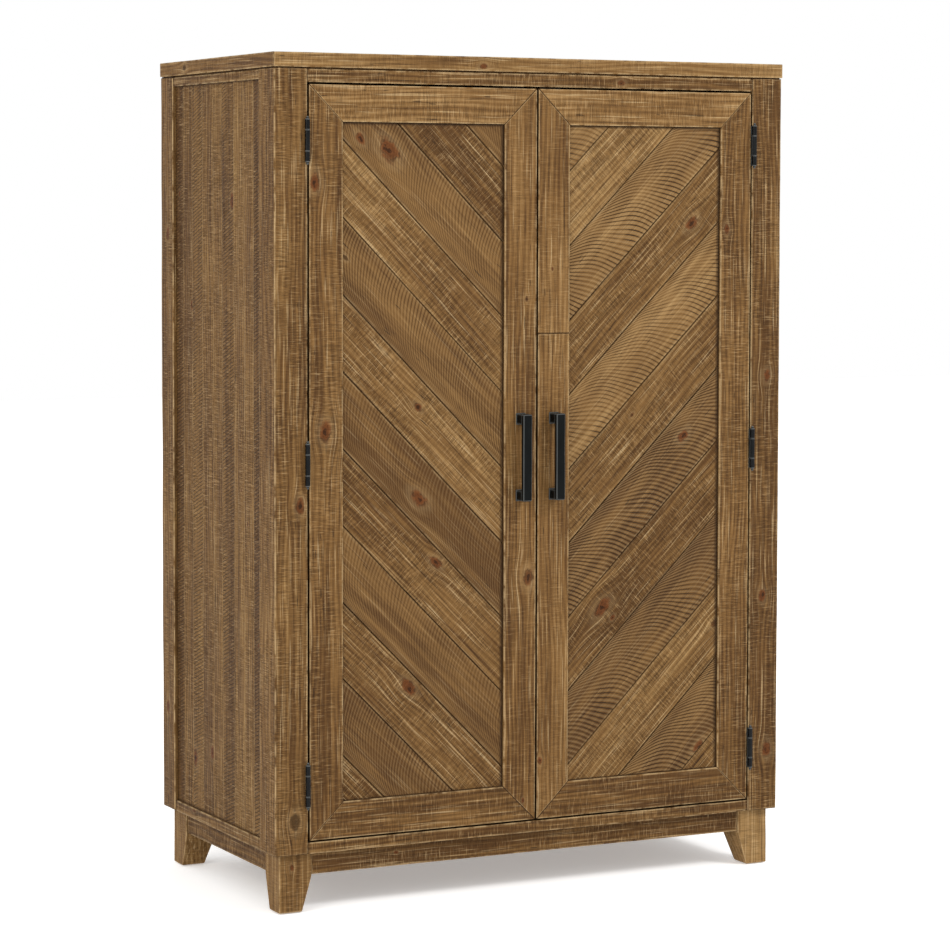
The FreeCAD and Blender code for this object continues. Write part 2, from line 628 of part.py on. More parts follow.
def door_planks(seam_drop):
    """Planks that fall at 45 degrees from the hinge side towards the meeting side."""
    slope = math.sqrt(0.5)
    tongue = PLANK_TONGUE_IN_FRAME
    x0, x1 = PANEL_HINGE_SIDE - tongue, PANEL_MEETING_SIDE + tongue
    z0, z1 = PANEL_BOTTOM - tongue, PANEL_TOP + tongue
    panel = box(x0, x1, FRONT, BACK, z0, z1)
    one_seam = (PANEL_HINGE_SIDE + PANEL_TOP - seam_drop) * slope
    lowest, highest = (x0 + z0) * slope, (x1 + z1) * slope
    first = math.floor((lowest - one_seam) / PLANK_WIDTH)
    last = math.ceil((highest - one_seam) / PLANK_WIDTH)
    reach = z1 - z0 + x1 - x0
    planks = []
    for step in range(first, last):
        section = plank_section(one_seam + step * PLANK_WIDTH)
        if section[0][0] >= highest or section[1][0] <= lowest:
            continue                     # nothing but a tongue would be left in the corner
        corners = [(across * slope - reach, y, across * slope + reach) for across, y in section]
        board = prism(corners, Vector(2 * reach, 0, -2 * reach)).common(panel)
        planks.append(max(board.Solids, key=lambda solid: solid.Volume))
    return planks


# ---- handles and catches, drawn on the left door ----
def handle_bar():
    """A square bar with its two front edges bevelled."""
    x0, x1 = HANDLE_X - HANDLE_WIDTH / 2, HANDLE_X + HANDLE_WIDTH / 2
    y0, y1 = FRONT - HANDLE_PROJECTION, FRONT - HANDLE_PROJECTION + HANDLE_BAR_THICKNESS
    bevel = HANDLE_CHAMFER
    outline = [(x0 + bevel, y0), (x1 - bevel, y0), (x1, y0 + bevel), (x1, y1), (x0, y1), (x0, y0 + bevel)]
    z0 = DOOR_MIDDLE - HANDLE_LENGTH / 2
    return prism([(x, y, z0) for x, y in outline], Z_AXIS * HANDLE_LENGTH)


def handle_post_heights():
    """The posts end flush with the bar."""
    reach = (HANDLE_LENGTH - HANDLE_POST_HEIGHT) / 2
    return DOOR_MIDDLE - reach, DOOR_MIDDLE + reach


def handle_posts():
    """Two square posts on thin feet; each stands on the door and carries one end of the bar."""
    half, tall, lip = HANDLE_POST_WIDTH / 2, HANDLE_POST_HEIGHT / 2, HANDLE_FOOT_LIP
    bar_back = FRONT - HANDLE_PROJECTION + HANDLE_BAR_THICKNESS
    foot_front = FRONT - HANDLE_FOOT_THICKNESS
    posts = []
    for z in handle_post_heights():
        stem = box(HANDLE_X - half, HANDLE_X + half, bar_back, FRONT, z - tall, z + tall)
        bed = box(HANDLE_X - half - lip, HANDLE_X + half + lip, foot_front, FRONT,
                  z - tall - lip, z + tall + lip)
        front_edges = [edge for edge in bed.Edges if edge.BoundBox.YMax < FRONT - HANDLE_FOOT_BEVEL]
        posts.append(fuse(stem, bed.makeChamfer(HANDLE_FOOT_BEVEL, front_edges)))
    return [cut_all(post, handle_screws(SCREW_CLEARANCE)) for post in posts]


def handle_screws(clearance=0.0):
    """Machine screws from the back of the door into the handle posts."""
    screws = []
    for z in handle_post_heights():
        tip = Vector(HANDLE_X, FRONT - HANDLE_SCREW_BITE - clearance, z)
        length = DOOR_THICKNESS + HANDLE_SCREW_BITE + clearance
        shank = Part.makeCylinder(HANDLE_SCREW_RADIUS + clearance, length, tip, Y_AXIS)
        head = Part.makeCylinder(HANDLE_SCREW_HEAD_RADIUS, HANDLE_SCREW_HEAD,
                                 Vector(HANDLE_X, DOOR_BACK, z), Y_AXIS)
        screws.append(fuse(shank, head))
    return screws


def strike_plate():
    top = DOOR_TOP - STRIKE_FROM_TOP
    x = -CATCH_FROM_MIDDLE
    return box(x - STRIKE_WIDTH / 2, x + STRIKE_WIDTH / 2, DOOR_BACK, DOOR_BACK + STRIKE_THICKNESS,
               top - STRIKE_HEIGHT, top)


def magnetic_catch():
    """Hangs under the front top rail, just behind the closed door's strike plate."""
    top = CASE_TOP - FRONT_TOP_RAIL_HEIGHT
    y0 = DOOR_BACK + STRIKE_THICKNESS + CATCH_AIR_GAP
    x = -CATCH_FROM_MIDDLE
    return box(x - CATCH_WIDTH / 2, x + CATCH_WIDTH / 2, y0, y0 + CATCH_DEPTH, top - CATCH_HEIGHT, top)


def make_case():
    save("top_slab", top_slab())
    save_pair("front_left_post", "front_right_post", front_left_post())
    save_pair("back_left_post", "back_right_post", back_left_post())
    save_pair("left_side_panel", "right_side_panel", left_side_panel())
    save("front_top_rail", front_top_rail())
    save("back_top_rail", back_top_rail())
    save_pair("left_top_rail", "right_top_rail", left_top_rail())
    save("front_bottom_rail", front_bottom_rail())
    save("back_bottom_rail", back_bottom_rail())
    save_pair("left_bottom_rail", "right_bottom_rail", left_bottom_rail())
    save("back_panel", back_panel())
    save("floor_panel", floor_panel())
    save("top_screws", *top_screws())


def make_inside():
    save("hat_shelf", shelf(HAT_SHELF_TOP))
    save("shoe_shelf", shelf(SHOE_SHELF_TOP))
    save("shelf_cleats", *both_sides(left_cleat()))
    save("shelf_pins", *both_sides(*[shelf_pin(y) for y in PIN_Y]))
    save("hanging_rod", hanging_rod())
    save("rod_sockets", *both_sides(rod_socket()))
    save("magnetic_catches", *both_sides(magnetic_catch()))


def make_base():
    save_pair("front_left_foot", "front_right_foot", foot(True))
    save_pair("back_left_foot", "back_right_foot", foot(False))
    save("front_apron", front_apron())
    save("back_apron", back_apron())
    save_pair("left_apron", "right_apron", left_apron())
    save("foot_glides", *both_sides(glide(True), glide(False)))
    save("foot_bolts", *both_sides(foot_bolt(True), foot_bolt(False)))


def make_hinges():
    save("case_hinge_leaves", *both_sides(*[case_hinge_leaf(height) for height in HINGE_HEIGHTS]))
    save("hinge_pins", *both_sides(*[hinge_pin(height) for height in HINGE_HEIGHTS]))
    save("case_hinge_screws", *both_sides(*case_leaf_screws()))
    leaves = [door_hinge_leaf(height) for height in HINGE_HEIGHTS]
    save_pair("left_door_hinge_leaves", "right_door_hinge_leaves", *leaves)
    save_pair("left_door_hinge_screws", "right_door_hinge_screws", *door_leaf_screws())


def make_doors():
    names = ("bottom_rail", "meeting_stile", "top_rail", "hinge_stile")
    for name, member in zip(names, frame_members()):
        save_pair("left_door_" + name, "right_door_" + name, member)
    save("left_door_planks", *door_planks(LEFT_SEAM_DROP))
    save("right_door_planks", *[mirrored(plank) for plank in door_planks(RIGHT_SEAM_DROP)])
    save_pair("left_handle_bar", "right_handle_bar", handle_bar())
    save_pair("left_handle_posts", "right_handle_posts", *handle_posts())
    save_pair("left_handle_screws", "right_handle_screws", *handle_screws())
    save_pair("left_strike_plate", "right_strike_plate", strike_plate())


os.makedirs("parts", exist_ok=True)
make_case()
make_inside()
make_base()
make_hinges()
make_doors()
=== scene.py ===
import math
import bpy
import numpy as np
from mathutils import Matrix, Vector


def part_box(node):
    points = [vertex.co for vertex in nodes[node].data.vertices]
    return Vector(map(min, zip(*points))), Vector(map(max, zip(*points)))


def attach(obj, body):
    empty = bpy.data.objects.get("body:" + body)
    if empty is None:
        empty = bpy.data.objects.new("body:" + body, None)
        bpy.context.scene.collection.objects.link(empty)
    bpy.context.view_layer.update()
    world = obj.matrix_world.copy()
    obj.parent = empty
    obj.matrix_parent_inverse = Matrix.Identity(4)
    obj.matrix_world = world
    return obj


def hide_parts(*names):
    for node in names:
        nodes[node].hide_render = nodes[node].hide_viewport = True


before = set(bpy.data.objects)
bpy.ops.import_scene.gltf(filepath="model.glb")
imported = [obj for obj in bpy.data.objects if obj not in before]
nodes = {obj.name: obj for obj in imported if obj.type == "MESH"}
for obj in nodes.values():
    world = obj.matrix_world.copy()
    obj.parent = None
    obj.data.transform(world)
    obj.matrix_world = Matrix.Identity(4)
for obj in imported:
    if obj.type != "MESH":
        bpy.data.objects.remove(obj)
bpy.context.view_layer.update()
draw = np.random.default_rng(41)  # every board draws its own grain from here, in order
root2 = math.sqrt(2)
mm = 0.001
print("frame loaded:", len(nodes), "sub-parts")


# Small helpers for meshes.

# Sum of six sine waves of unlike length and heading, about -1 to 1: a smooth, seeded unevenness.
def ripple(points, wavelength, seed):
    waves = np.random.default_rng(seed)
    heading = waves.normal(size=(6, points.shape[-1]))
    heading /= np.linalg.norm(heading, axis=1)[:, None]
    rate = 2 * math.pi / (wavelength * waves.uniform(0.6, 1.7, 6))
    phase = waves.uniform(0, 2 * math.pi, 6)
    return np.sin(points @ (heading * rate[:, None]).T + phase).sum(-1) / 3.2


# Six times the volume a closed surface holds: the sum over its faces of each fan triangle's determinant.
def signedVolume(points, faces):
    total = 0.0
    for size in {len(f) for f in faces}:
        corners = points[np.array([f for f in faces if len(f) == size])]
        for k in range(1, size - 1):
            total += np.einsum("ij,ij->i", corners[:, 0], np.cross(corners[:, k], corners[:, k + 1])).sum()
    return total


# Joins any number of closed shells into one mesh object, turning each shell so that its faces point outwards.
def makePiece(name, shells, body, material, stands=(), smooth=35):
    points, faces, start = [], [], 0
    for shell in shells:
        loops = shell["faces"]
        if signedVolume(shell["points"], loops) < 0:
            loops = [f[::-1] for f in loops]
        faces += [tuple(int(k) + start for k in f) for f in loops]
        points.append(shell["points"])
        start += len(shell["points"])
    mesh = bpy.data.meshes.new(name)
    mesh.from_pydata(np.concatenate(points).tolist(), [], faces)
    for key in shells[0]:
        if key in ("points", "faces"):
            continue
        values = np.concatenate([shell[key] for shell in shells]).astype(np.float32)
        kind, field = ("FLOAT", "value") if values.ndim == 1 else ("FLOAT_VECTOR", "vector")
        mesh.attributes.new(key, kind, "POINT").data.foreach_set(field, values.ravel())
    mesh.update()
    piece = bpy.data.objects.new(name, mesh)
    bpy.context.scene.collection.objects.link(piece)
    mesh.materials.append(material)
    mesh.shade_smooth()
    mesh.set_sharp_from_angle(angle=math.radians(smooth))
    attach(piece, body)
    if stands:
        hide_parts(*stands)
    return piece


# Grid lines from low to high: crowded where the edge rounds over and wears, then even cells between.
def gridLines(low, high, radius, cell, extra=()):
    rounded = (0, radius * 0.4, radius, radius + 2.5 * mm, radius + 7 * mm)
    crowd = [k for k in rounded if k < (high - low) / 2.2]
    inner = high - low - 2 * crowd[-1]
    between = np.linspace(low + crowd[-1], high - crowd[-1], max(2, int(round(inner / cell)) + 1))
    more = [k for k in extra if low + 3 * mm < k < high - 3 * mm]
    near = np.array(crowd[:-1])
    return np.unique(np.concatenate([low + near, between, high - near[::-1], more]))


# A sawn board: the six face grids of a box, each point p pulled to q + (r-d)(p-q)/|p-q|, q being p held
# inside the box shrunk by r, r the edge radius, which swells and shrinks with wear, and d a small sawn dip.
# Norm 1 in place of 2 gives flat chamfers. The hem is the part of the box left in sight by its neighbours:
# its border gets painted shade, the wood darkening towards it where the neighbours meet it; the wood also
# darkens where the board ends.
def boardShell(low, high, along, radius=1.4 * mm, cell=22 * mm, knots=(), face=1, near=True, tone=0.0,
               ticks=1.0, marks=0.0, warp=None, wear=1.0, lift=0.12 * mm, hem=None, norm=2, darkEnds=True):
    low, high = np.array(low, float), np.array(high, float)
    hemLow, hemHigh = hem or (low - 1, high + 1)
    extra = [[side + way * k for side, way in ((hemLow[a], 1), (hemHigh[a], -1)) for k in (0, 2 * mm, 6 * mm)]
             for a in range(3)]
    cells = [cell * (1.6 if k == along else 0.6) for k in range(3)]
    lines = [gridLines(low[k], high[k], radius, cells[k], extra[k]) for k in range(3)]
    points, faces, count = [], [], 0
    for axis in range(3):
        first, second = [k for k in range(3) if k != axis]
        grid = np.stack(np.meshgrid(lines[first], lines[second], indexing="ij"), -1)
        for level in (low[axis], high[axis]):
            sheet = np.full(grid.shape[:2] + (3,), level)
            sheet[..., first], sheet[..., second] = grid[..., 0], grid[..., 1]
            index = np.arange(grid.shape[0] * grid.shape[1]).reshape(grid.shape[:2]) + count
            quads = np.stack([index[:-1, :-1], index[1:, :-1], index[1:, 1:], index[:-1, 1:]], -1)
            quads = quads.reshape(-1, 4)
            if (level == low[axis]) == (axis != 1):  # so that all six sheets face outwards
                quads = quads[:, ::-1]
            points.append(sheet.reshape(-1, 3))
            faces.append(quads)
            count += index.size
    points, faces = np.concatenate(points), np.concatenate(faces)
    keys, back = np.unique(np.round(points / 1e-6).astype(np.int64), axis=0, return_inverse=True)
    points, faces = keys * 1e-6, back.ravel()[faces]
    seed = int(draw.integers(1e6))
    r = radius * (1 + 0.45 * np.clip(ripple(points, 0.09, seed), -0.8, 1.6) * wear)[:, None]
    held = np.clip(points, low + r, high - r)
    away = points - held
    reach = np.linalg.norm(away, norm, axis=1, keepdims=True)
    out = away / reach
    arrisAndShade = wear * (1 - np.clip(np.sort(np.minimum(points - low, high - points), 1)[:, 1] / (2.6 * mm), 0, 1))
    if darkEnds:
        end = np.minimum(points - low, high - points)[:, along]
        arrisAndShade = np.where(end < 1.2 * mm, -0.8, arrisAndShade)
    # painted shade: within 6 mm of the hem's border the wood darkens, as if shaded by its neighbours
    sight = np.minimum(points - hemLow, hemHigh - points).min(1)
    arrisAndShade = np.where(sight < 5.9 * mm, -0.95 * np.clip(1 - sight / (6 * mm), 0, 1) ** 2, arrisAndShade)
    points = held + out * (r - lift * (1 + ripple(points, 0.13, seed + 1))[:, None])
    if warp:
        points = warp(points)
    # v runs on the face seen first
    across = (0 if along != 0 else 2) if face == 1 else (1 if along != 1 else 2)
    if face == 2:
        across = 1 if along == 0 else 0
    depth = 3 - along - across
    start = low[depth] if near else high[depth]
    grain = np.stack([points[:, along], points[:, across] - low[across], np.abs(points[:, depth] - start)], 1)
    shell = {"points": points, "faces": faces.tolist(), "wear": arrisAndShade}
    width = high[across] - low[across]
    shell.update(grainOf(grain, low[along], high[along], width, knots, tone, ticks, marks))
    return shell


# What the wood materials read: place in the board along, across and into the grain, how dark and how
# rough-sawn it is, and the way from each point to its three knots.
def grainOf(grain, start, end, width, knots, tone, ticks, arcs=0.0):
    count = len(grain)
    shift = draw.uniform(-40, 40, 2)
    chosen = list(knots)
    if not chosen and draw.uniform() < min(0.6, 0.2 * (end - start) / 0.5):
        chosen = [(draw.uniform(start, end), draw.uniform(0.15, 0.85) * width, draw.uniform(2, 4.5) * mm)]
    chosen = (chosen + [(99.0, 99.0, 5 * mm)] * 3)[:3]
    columns = {"grain": grain + [shift[0], 0, shift[1]],
               "board": np.tile([tone + draw.uniform(-0.1, 0.1), arcs, ticks], (count, 1)),
               "knotSize": np.tile([k[2] for k in chosen], (count, 1))}
    for number, (u, v, _) in enumerate(chosen, 1):
        columns[f"knot{number}"] = grain - [u, v, 0]
    return columns


def corners(node):
    low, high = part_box(node)
    return np.array(low), np.array(high)


# Small helpers for materials.

def addNode(tree, kind, inputs=(), **settings):
    node = tree.nodes.new(kind)
    for key, value in settings.items():
        setattr(node, key, value)
    for key, value in dict(inputs).items():
        link(tree, node.inputs[key], value)
    return node


def link(tree, socket, value):
    if isinstance(value, bpy.types.NodeSocket):
        tree.links.new(value, socket)
    else:
        socket.default_value = value


def calc(tree, operation, *values, clamp=False):
    node = addNode(tree, "ShaderNodeMath", operation=operation, use_clamp=clamp)
    for socket, value in zip(node.inputs, values):
        link(tree, socket, value)
    return node.outputs[0]


# Noise on the given vector, stretched by three rates in cycles per metre.
def noise(tree, vector, rates, detail=2.0, rough=0.55):
    stretched = addNode(tree, "ShaderNodeVectorMath", {0: vector, 1: rates}, operation="MULTIPLY").outputs[0]
    return addNode(tree, "ShaderNodeTexNoise", {"Vector": stretched, "Scale": 1.0, "Detail": detail,
                                                "Roughness": rough}).outputs[0]


# Smooth step of value from 0 at low to 1 at high.
def step(tree, value, low, high, bottom=0.0, top=1.0):
    inputs = {"Value": value, "From Min": low, "From Max": high, "To Min": bottom, "To Max": top}
    return addNode(tree, "ShaderNodeMapRange", inputs, interpolation_type="SMOOTHSTEP").outputs[0]


def blend(tree, amount, under, over, how="MIX"):
    node = addNode(tree, "ShaderNodeMix", data_type="RGBA", blend_type=how)
    link(tree, node.inputs[0], amount)
    for socket, value in ((node.inputs[6], under), (node.inputs[7], over)):
        link(tree, socket, value)
    return node.outputs[2]


def attribute(tree, name):
    return addNode(tree, "ShaderNodeAttribute", attribute_name=name).outputs


def parts(tree, vector):
    return addNode(tree, "ShaderNodeSeparateXYZ", {0: vector}).outputs


def bundle(tree, x, y, z):
    return addNode(tree, "ShaderNodeCombineXYZ", {0: x, 1: y, 2: z}).outputs[0]


# Display values 0-255 to linear light, by the standard curve: a straight toe, then a power of 2.4.
def colour(red, green, blue):
    def linear(c):
        return c / 255 / 12.92 if c < 10.3 else ((c / 255 + 0.055) / 1.055) ** 2.4
    return (linear(red), linear(green), linear(blue), 1)


def newMaterial(name):
    material = bpy.data.materials.new(name)
    material.use_nodes = True
    tree = material.node_tree
    shader = tree.nodes["Principled BSDF"]
    return material, tree, shader


# The stained, band-sawn pine: what each kind of board changes in its look.
casePineLook = {
    "pale": colour(137, 107, 67), "mid": colour(107, 78, 43), "deep": colour(77, 52, 26),
    # stain is the colour of dark stain marks and also of painted shade in recesses, seams and gaps
    "stainAndShade": colour(40, 27, 16), "worn": colour(178, 152, 112),
    "knot": colour(94, 50, 20), "dull": colour(72, 51, 27), "heart": colour(28, 17, 8),
    "tickRate": 660.0,      # saw ticks per metre of board
    "tickReach": 34.0,      # how short they are across it
    "tickDepth": 0.5,
    "slant": 0.0,           # lean of the blade marks that some boards carry
    "arcDepth": 0.0,
    "streak": 0.55,
    "wear": 0.85,
    "gloss": 0.5,
    "bump": 0.6,
}
pineFigure = {
    "knotOval": (0.6, 1.0, 1.3),   # a knot is longer along the grain than across it
    "knotBend": 0.85,
    "knotFall": 0.16,
    "ringPitch": 0.0105,           # metres from one growth ring to the next
    "ringWander": 0.075,
    "streaks": 0.68,               # shares of each kind of unevenness in the colour
    "rings": 0.2,
    "blotches": 0.66,
    "fibres": 0.5,
    "middle": 0.29,                # what is taken off their sum
    "bladeRate": 135.0,            # herringbone marks per metre
    "shine": 0.07,
}
doorPineLook = dict(casePineLook, pale=colour(140, 109, 69), mid=colour(110, 80, 44))
plankPineLook = dict(casePineLook, arcDepth=1.0, wear=0.5, streak=0.6, tickRate=800.0, tickReach=42.0,
                     tickDepth=0.46)
sidePineLook = dict(casePineLook, slant=0.35, tickDepth=0.42, streak=0.4, wear=0.3, pale=colour(139, 109, 66),
                    mid=colour(108, 79, 43))
insidePineLook = dict(casePineLook, tickDepth=0.12, streak=0.35, wear=0.4, gloss=0.42, bump=0.25)
backPlyLook = dict(casePineLook, tickDepth=0.1, streak=0.3, wear=0.2, bump=0.2)


def sawnPine(name, look):
    material, tree, shader = newMaterial(name)

    def num(operation, *values, **kw):
        return calc(tree, operation, *values, **kw)

    grain = attribute(tree, "grain")["Vector"]
    u, v, w = parts(tree, grain)
    tone, arcAmount, tickAmount = parts(tree, attribute(tree, "board")["Vector"])
    arrisAndShade = attribute(tree, "wear")["Fac"]
    sizes = parts(tree, attribute(tree, "knotSize")["Vector"])

    # knots: the grain lines part round each, v - bend dv exp(-fall e e), e being the distance in knot radii
    nearest, bent = 99.0, v
    ovalAlong, _, ovalInto = pineFigure["knotOval"]
    rough = noise(tree, grain, (55, 55, 55), 2)
    for number in range(3):
        way = parts(tree, attribute(tree, f"knot{number + 1}")["Vector"])
        oval = bundle(tree, num("MULTIPLY", way[0], ovalAlong), way[1], num("MULTIPLY", way[2], ovalInto))
        length = addNode(tree, "ShaderNodeVectorMath", {0: oval}, operation="LENGTH").outputs[1]
        far = num("DIVIDE", length, sizes[number])
        spread = num("EXPONENT", num("MULTIPLY", num("MULTIPLY", far, far), -pineFigure["knotFall"]))
        parting = num("MULTIPLY", way[1], spread)
        bent = num("SUBTRACT", bent, num("MULTIPLY", parting, pineFigure["knotBend"]))
        nearest = num("MINIMUM", nearest, far)
    lumpy = noise(tree, grain, (90, 120, 120), 3, 0.6)
    nearest = num("ADD", nearest, num("MULTIPLY", num("SUBTRACT", rough, 0.5), 1.3))
    nearest = num("ADD", nearest, num("MULTIPLY", num("SUBTRACT", lumpy, 0.5), 0.9))
    flow = bundle(tree, u, bent, w)

    carved = num("GREATER_THAN", arcAmount, 0.05)

    # growth rings: bands across the board that wander along it
    wander = num("MULTIPLY", noise(tree, flow, (1.7, 7, 7), 2), pineFigure["ringWander"])
    bandPlace = num("ADD", bent, num("ADD", wander, num("MULTIPLY", w, 0.6)))
    ring = num("SINE", num("MULTIPLY", bandPlace, 2 * math.pi / pineFigure["ringPitch"]))
    figure = num("MULTIPLY", num("ADD", ring, 1.0), 0.5)
    fibre = noise(tree, flow, (16, 640, 640), 3, 0.65)
    streaks = noise(tree, flow, (2.6, 85, 85), 3, 0.6)
    blotch = noise(tree, flow, (3.2, 11, 11), 3, 0.6)

    # saw ticks across the grain, in patches
    fine = noise(tree, grain, (look["tickRate"], look["tickReach"], look["tickReach"]), 2, 0.7)
    coarseRates = (look["tickRate"] * 0.36, look["tickReach"] * 0.4, look["tickReach"] * 0.4)
    coarse = noise(tree, grain, coarseRates, 2, 0.6)
    patch = step(tree, noise(tree, grain, (8, 24, 24), 3, 0.6), 0.33, 0.6, 0.3, 1.0)
    tick = num("MULTIPLY", num("MULTIPLY", step(tree, fine, 0.47, 0.62), patch), tickAmount)
    bite = num("MULTIPLY", step(tree, coarse, 0.55, 0.7), tickAmount)
    nick = num("MULTIPLY", step(tree, noise(tree, flow, (26, 190, 190), 1, 0.4), 0.72, 0.79), 0.7)

    # colour
    ringShare = num("SUBTRACT", pineFigure["rings"], num("MULTIPLY", carved, 0.15))
    body = num("ADD", num("MULTIPLY", streaks, pineFigure["streaks"]), num("MULTIPLY", figure, ringShare))
    body = num("ADD", body, num("MULTIPLY", blotch, pineFigure["blotches"]))
    body = num("ADD", body, num("MULTIPLY", num("SUBTRACT", fibre, 0.5), pineFigure["fibres"]))
    body = num("SUBTRACT", num("ADD", body, tone), pineFigure["middle"])
    base = blend(tree, step(tree, body, 0.2, 0.55), look["deep"], look["mid"])
    base = blend(tree, step(tree, body, 0.5, 0.86), base, look["pale"])
    scratch = noise(tree, flow, (8, 360, 360), 2, 0.5)
    calm = num("SUBTRACT", look["streak"], num("MULTIPLY", carved, look["streak"] * 0.7))
    base = blend(tree, num("MULTIPLY", step(tree, scratch, 0.58, 0.72), calm), base, look["worn"])
    base = blend(tree, num("MULTIPLY", step(tree, scratch, 0.42, 0.28), calm), base, look["stainAndShade"])
    base = blend(tree, num("MULTIPLY", tick, look["tickDepth"]), base, look["stainAndShade"])
    base = blend(tree, num("MULTIPLY", bite, look["tickDepth"] * 0.32), base, look["stainAndShade"])
    base = blend(tree, nick, base, look["stainAndShade"])
    between = num("MULTIPLY", step(tree, fine, 0.42, 0.3), patch)
    pale = num("MULTIPLY", between, num("MULTIPLY", tickAmount, 0.4))
    base = blend(tree, pale, base, look["worn"])
    height = num("SUBTRACT", num("MULTIPLY", fibre, 0.35), num("MULTIPLY", num("ADD", tick, bite), 0.6))
    if look["arcDepth"]:
        phase = attribute(tree, "arc")["Fac"]
        groove = step(tree, num("PINGPONG", phase, 0.5), 0.03, 0.19, 1.0, 0.0)
        halfway = step(tree, num("PINGPONG", num("ADD", phase, 0.5), 0.5), 0.02, 0.14, 0.24, 0.0)
        bitten = step(tree, noise(tree, grain, (14, 20, 20), 3), 0.32, 0.62, 0.3, 1.0)
        cut = num("MULTIPLY", num("ADD", groove, halfway), bitten)
        cut = num("MULTIPLY", cut, arcAmount)
        ridge = step(tree, num("PINGPONG", phase, 0.5), 0.27, 0.42)
        crest = num("MULTIPLY", num("MULTIPLY", ridge, arcAmount), 0.16)
        base = blend(tree, crest, base, look["worn"])
        base = blend(tree, num("MULTIPLY", cut, look["arcDepth"]), base, look["stainAndShade"])
        height = num("SUBTRACT", height, cut)
    if look["slant"]:
        slanted = num("ADD", u, num("MULTIPLY", v, look["slant"]))
        leaning = num("ADD", num("MULTIPLY", slanted, pineFigure["bladeRate"]), num("MULTIPLY", rough, 0.7))
        mark = step(tree, num("PINGPONG", leaning, 0.5), 0.06, 0.24, 1.0, 0.0)
        strip = step(tree, noise(tree, grain, (6, 22, 22), 2), 0.3, 0.52, 0.2, 1.0)
        mark = num("MULTIPLY", num("MULTIPLY", mark, strip), arcAmount)
        base = blend(tree, num("MULTIPLY", mark, 0.62), base, look["stainAndShade"])
        height = num("SUBTRACT", height, mark)
    # knots: red-brown inside with rings of their own, a near-black rim and heart, a paler halo
    halo = num("MULTIPLY", step(tree, nearest, 2.5, 1.2), 0.09)
    base = blend(tree, halo, base, look["worn"])
    inside = step(tree, nearest, 1.35, 0.6)
    hue = blend(tree, step(tree, blotch, 0.5, 0.64), look["knot"], look["dull"])
    base = blend(tree, num("MULTIPLY", inside, 0.86), base, hue)
    ownRings = num("MULTIPLY", num("SINE", num("MULTIPLY", nearest, 13.0)), 0.1)
    rings = num("ADD", ownRings, num("MULTIPLY", step(tree, lumpy, 0.35, 0.65), 0.35))
    rimPlace = num("ABSOLUTE", num("SUBTRACT", nearest, 0.95))
    rim = num("MULTIPLY", step(tree, rimPlace, 0.3, 0.02), step(tree, lumpy, 0.42, 0.6))
    raggedHeart = num("ADD", nearest, num("MULTIPLY", num("SUBTRACT", lumpy, 0.5), 1.5))
    heart = num("MULTIPLY", step(tree, raggedHeart, 0.55, 0.05), 0.8)
    dark = num("MAXIMUM", num("MAXIMUM", num("MULTIPLY", rim, 0.6), num("MULTIPLY", inside, rings)), heart)
    base = blend(tree, dark, base, look["heart"])
    # worn pale arrises, and painted shade in the stain colour where the attribute says the wood is hemmed in
    chafe = step(tree, noise(tree, grain, (38, 38, 38), 3, 0.6), 0.34, 0.6)
    paleArris = num("MULTIPLY", num("MULTIPLY", arrisAndShade, chafe), look["wear"], clamp=True)
    base = blend(tree, paleArris, base, look["worn"])
    base = blend(tree, num("MULTIPLY", num("MULTIPLY", arrisAndShade, -1.0), 0.8, clamp=True), base, look["stainAndShade"])

    gloss = num("ADD", num("MULTIPLY", num("ADD", tick, blotch), 0.14), look["gloss"])
    bump = addNode(tree, "ShaderNodeBump", {"Strength": look["bump"], "Distance": 0.0012, "Height": height})
    link(tree, shader.inputs["Base Color"], base)
    link(tree, shader.inputs["Roughness"], gloss)
    link(tree, shader.inputs["Normal"], bump.outputs[0])
    shader.inputs["Specular IOR Level"].default_value = pineFigure["shine"]
    return material


casePine = sawnPine("case_pine_sawn", casePineLook)
doorPine = sawnPine("door_pine_sawn", doorPineLook)
plankPine = sawnPine("plank_pine_arcs", plankPineLook)
sidePine = sawnPine("side_pine_herringbone", sidePineLook)
insidePine = sawnPine("inside_pine_smooth", insidePineLook)
backPly = sawnPine("back_ply_face", backPlyLook)


# Metal and plastic, on object coordinates.
metalLooks = {
    "black_metal": {"low": colour(3, 5, 5), "high": colour(9, 12, 12), "rough": 0.36, "metal": 0.0,
                    "gleam": 0.08, "grit": 900.0},
    "hinge_metal": {"low": colour(6, 7, 8), "high": colour(18, 20, 21), "rough": 0.24, "metal": 0.0,
                    "gleam": 0.12, "grit": 700.0},
    "zinc_steel": {"low": colour(120, 122, 124), "high": colour(176, 178, 180), "rough": 0.34, "metal": 1.0,
                   "gleam": 0.5, "grit": 420.0},
    "rod_steel": {"low": colour(150, 150, 152), "high": colour(205, 206, 208), "rough": 0.2, "metal": 1.0,
                  "gleam": 0.5, "grit": 260.0},
    "brown_plastic": {"low": colour(52, 38, 28), "high": colour(74, 56, 42), "rough": 0.5, "metal": 0.0,
                      "gleam": 0.3, "grit": 700.0},
}


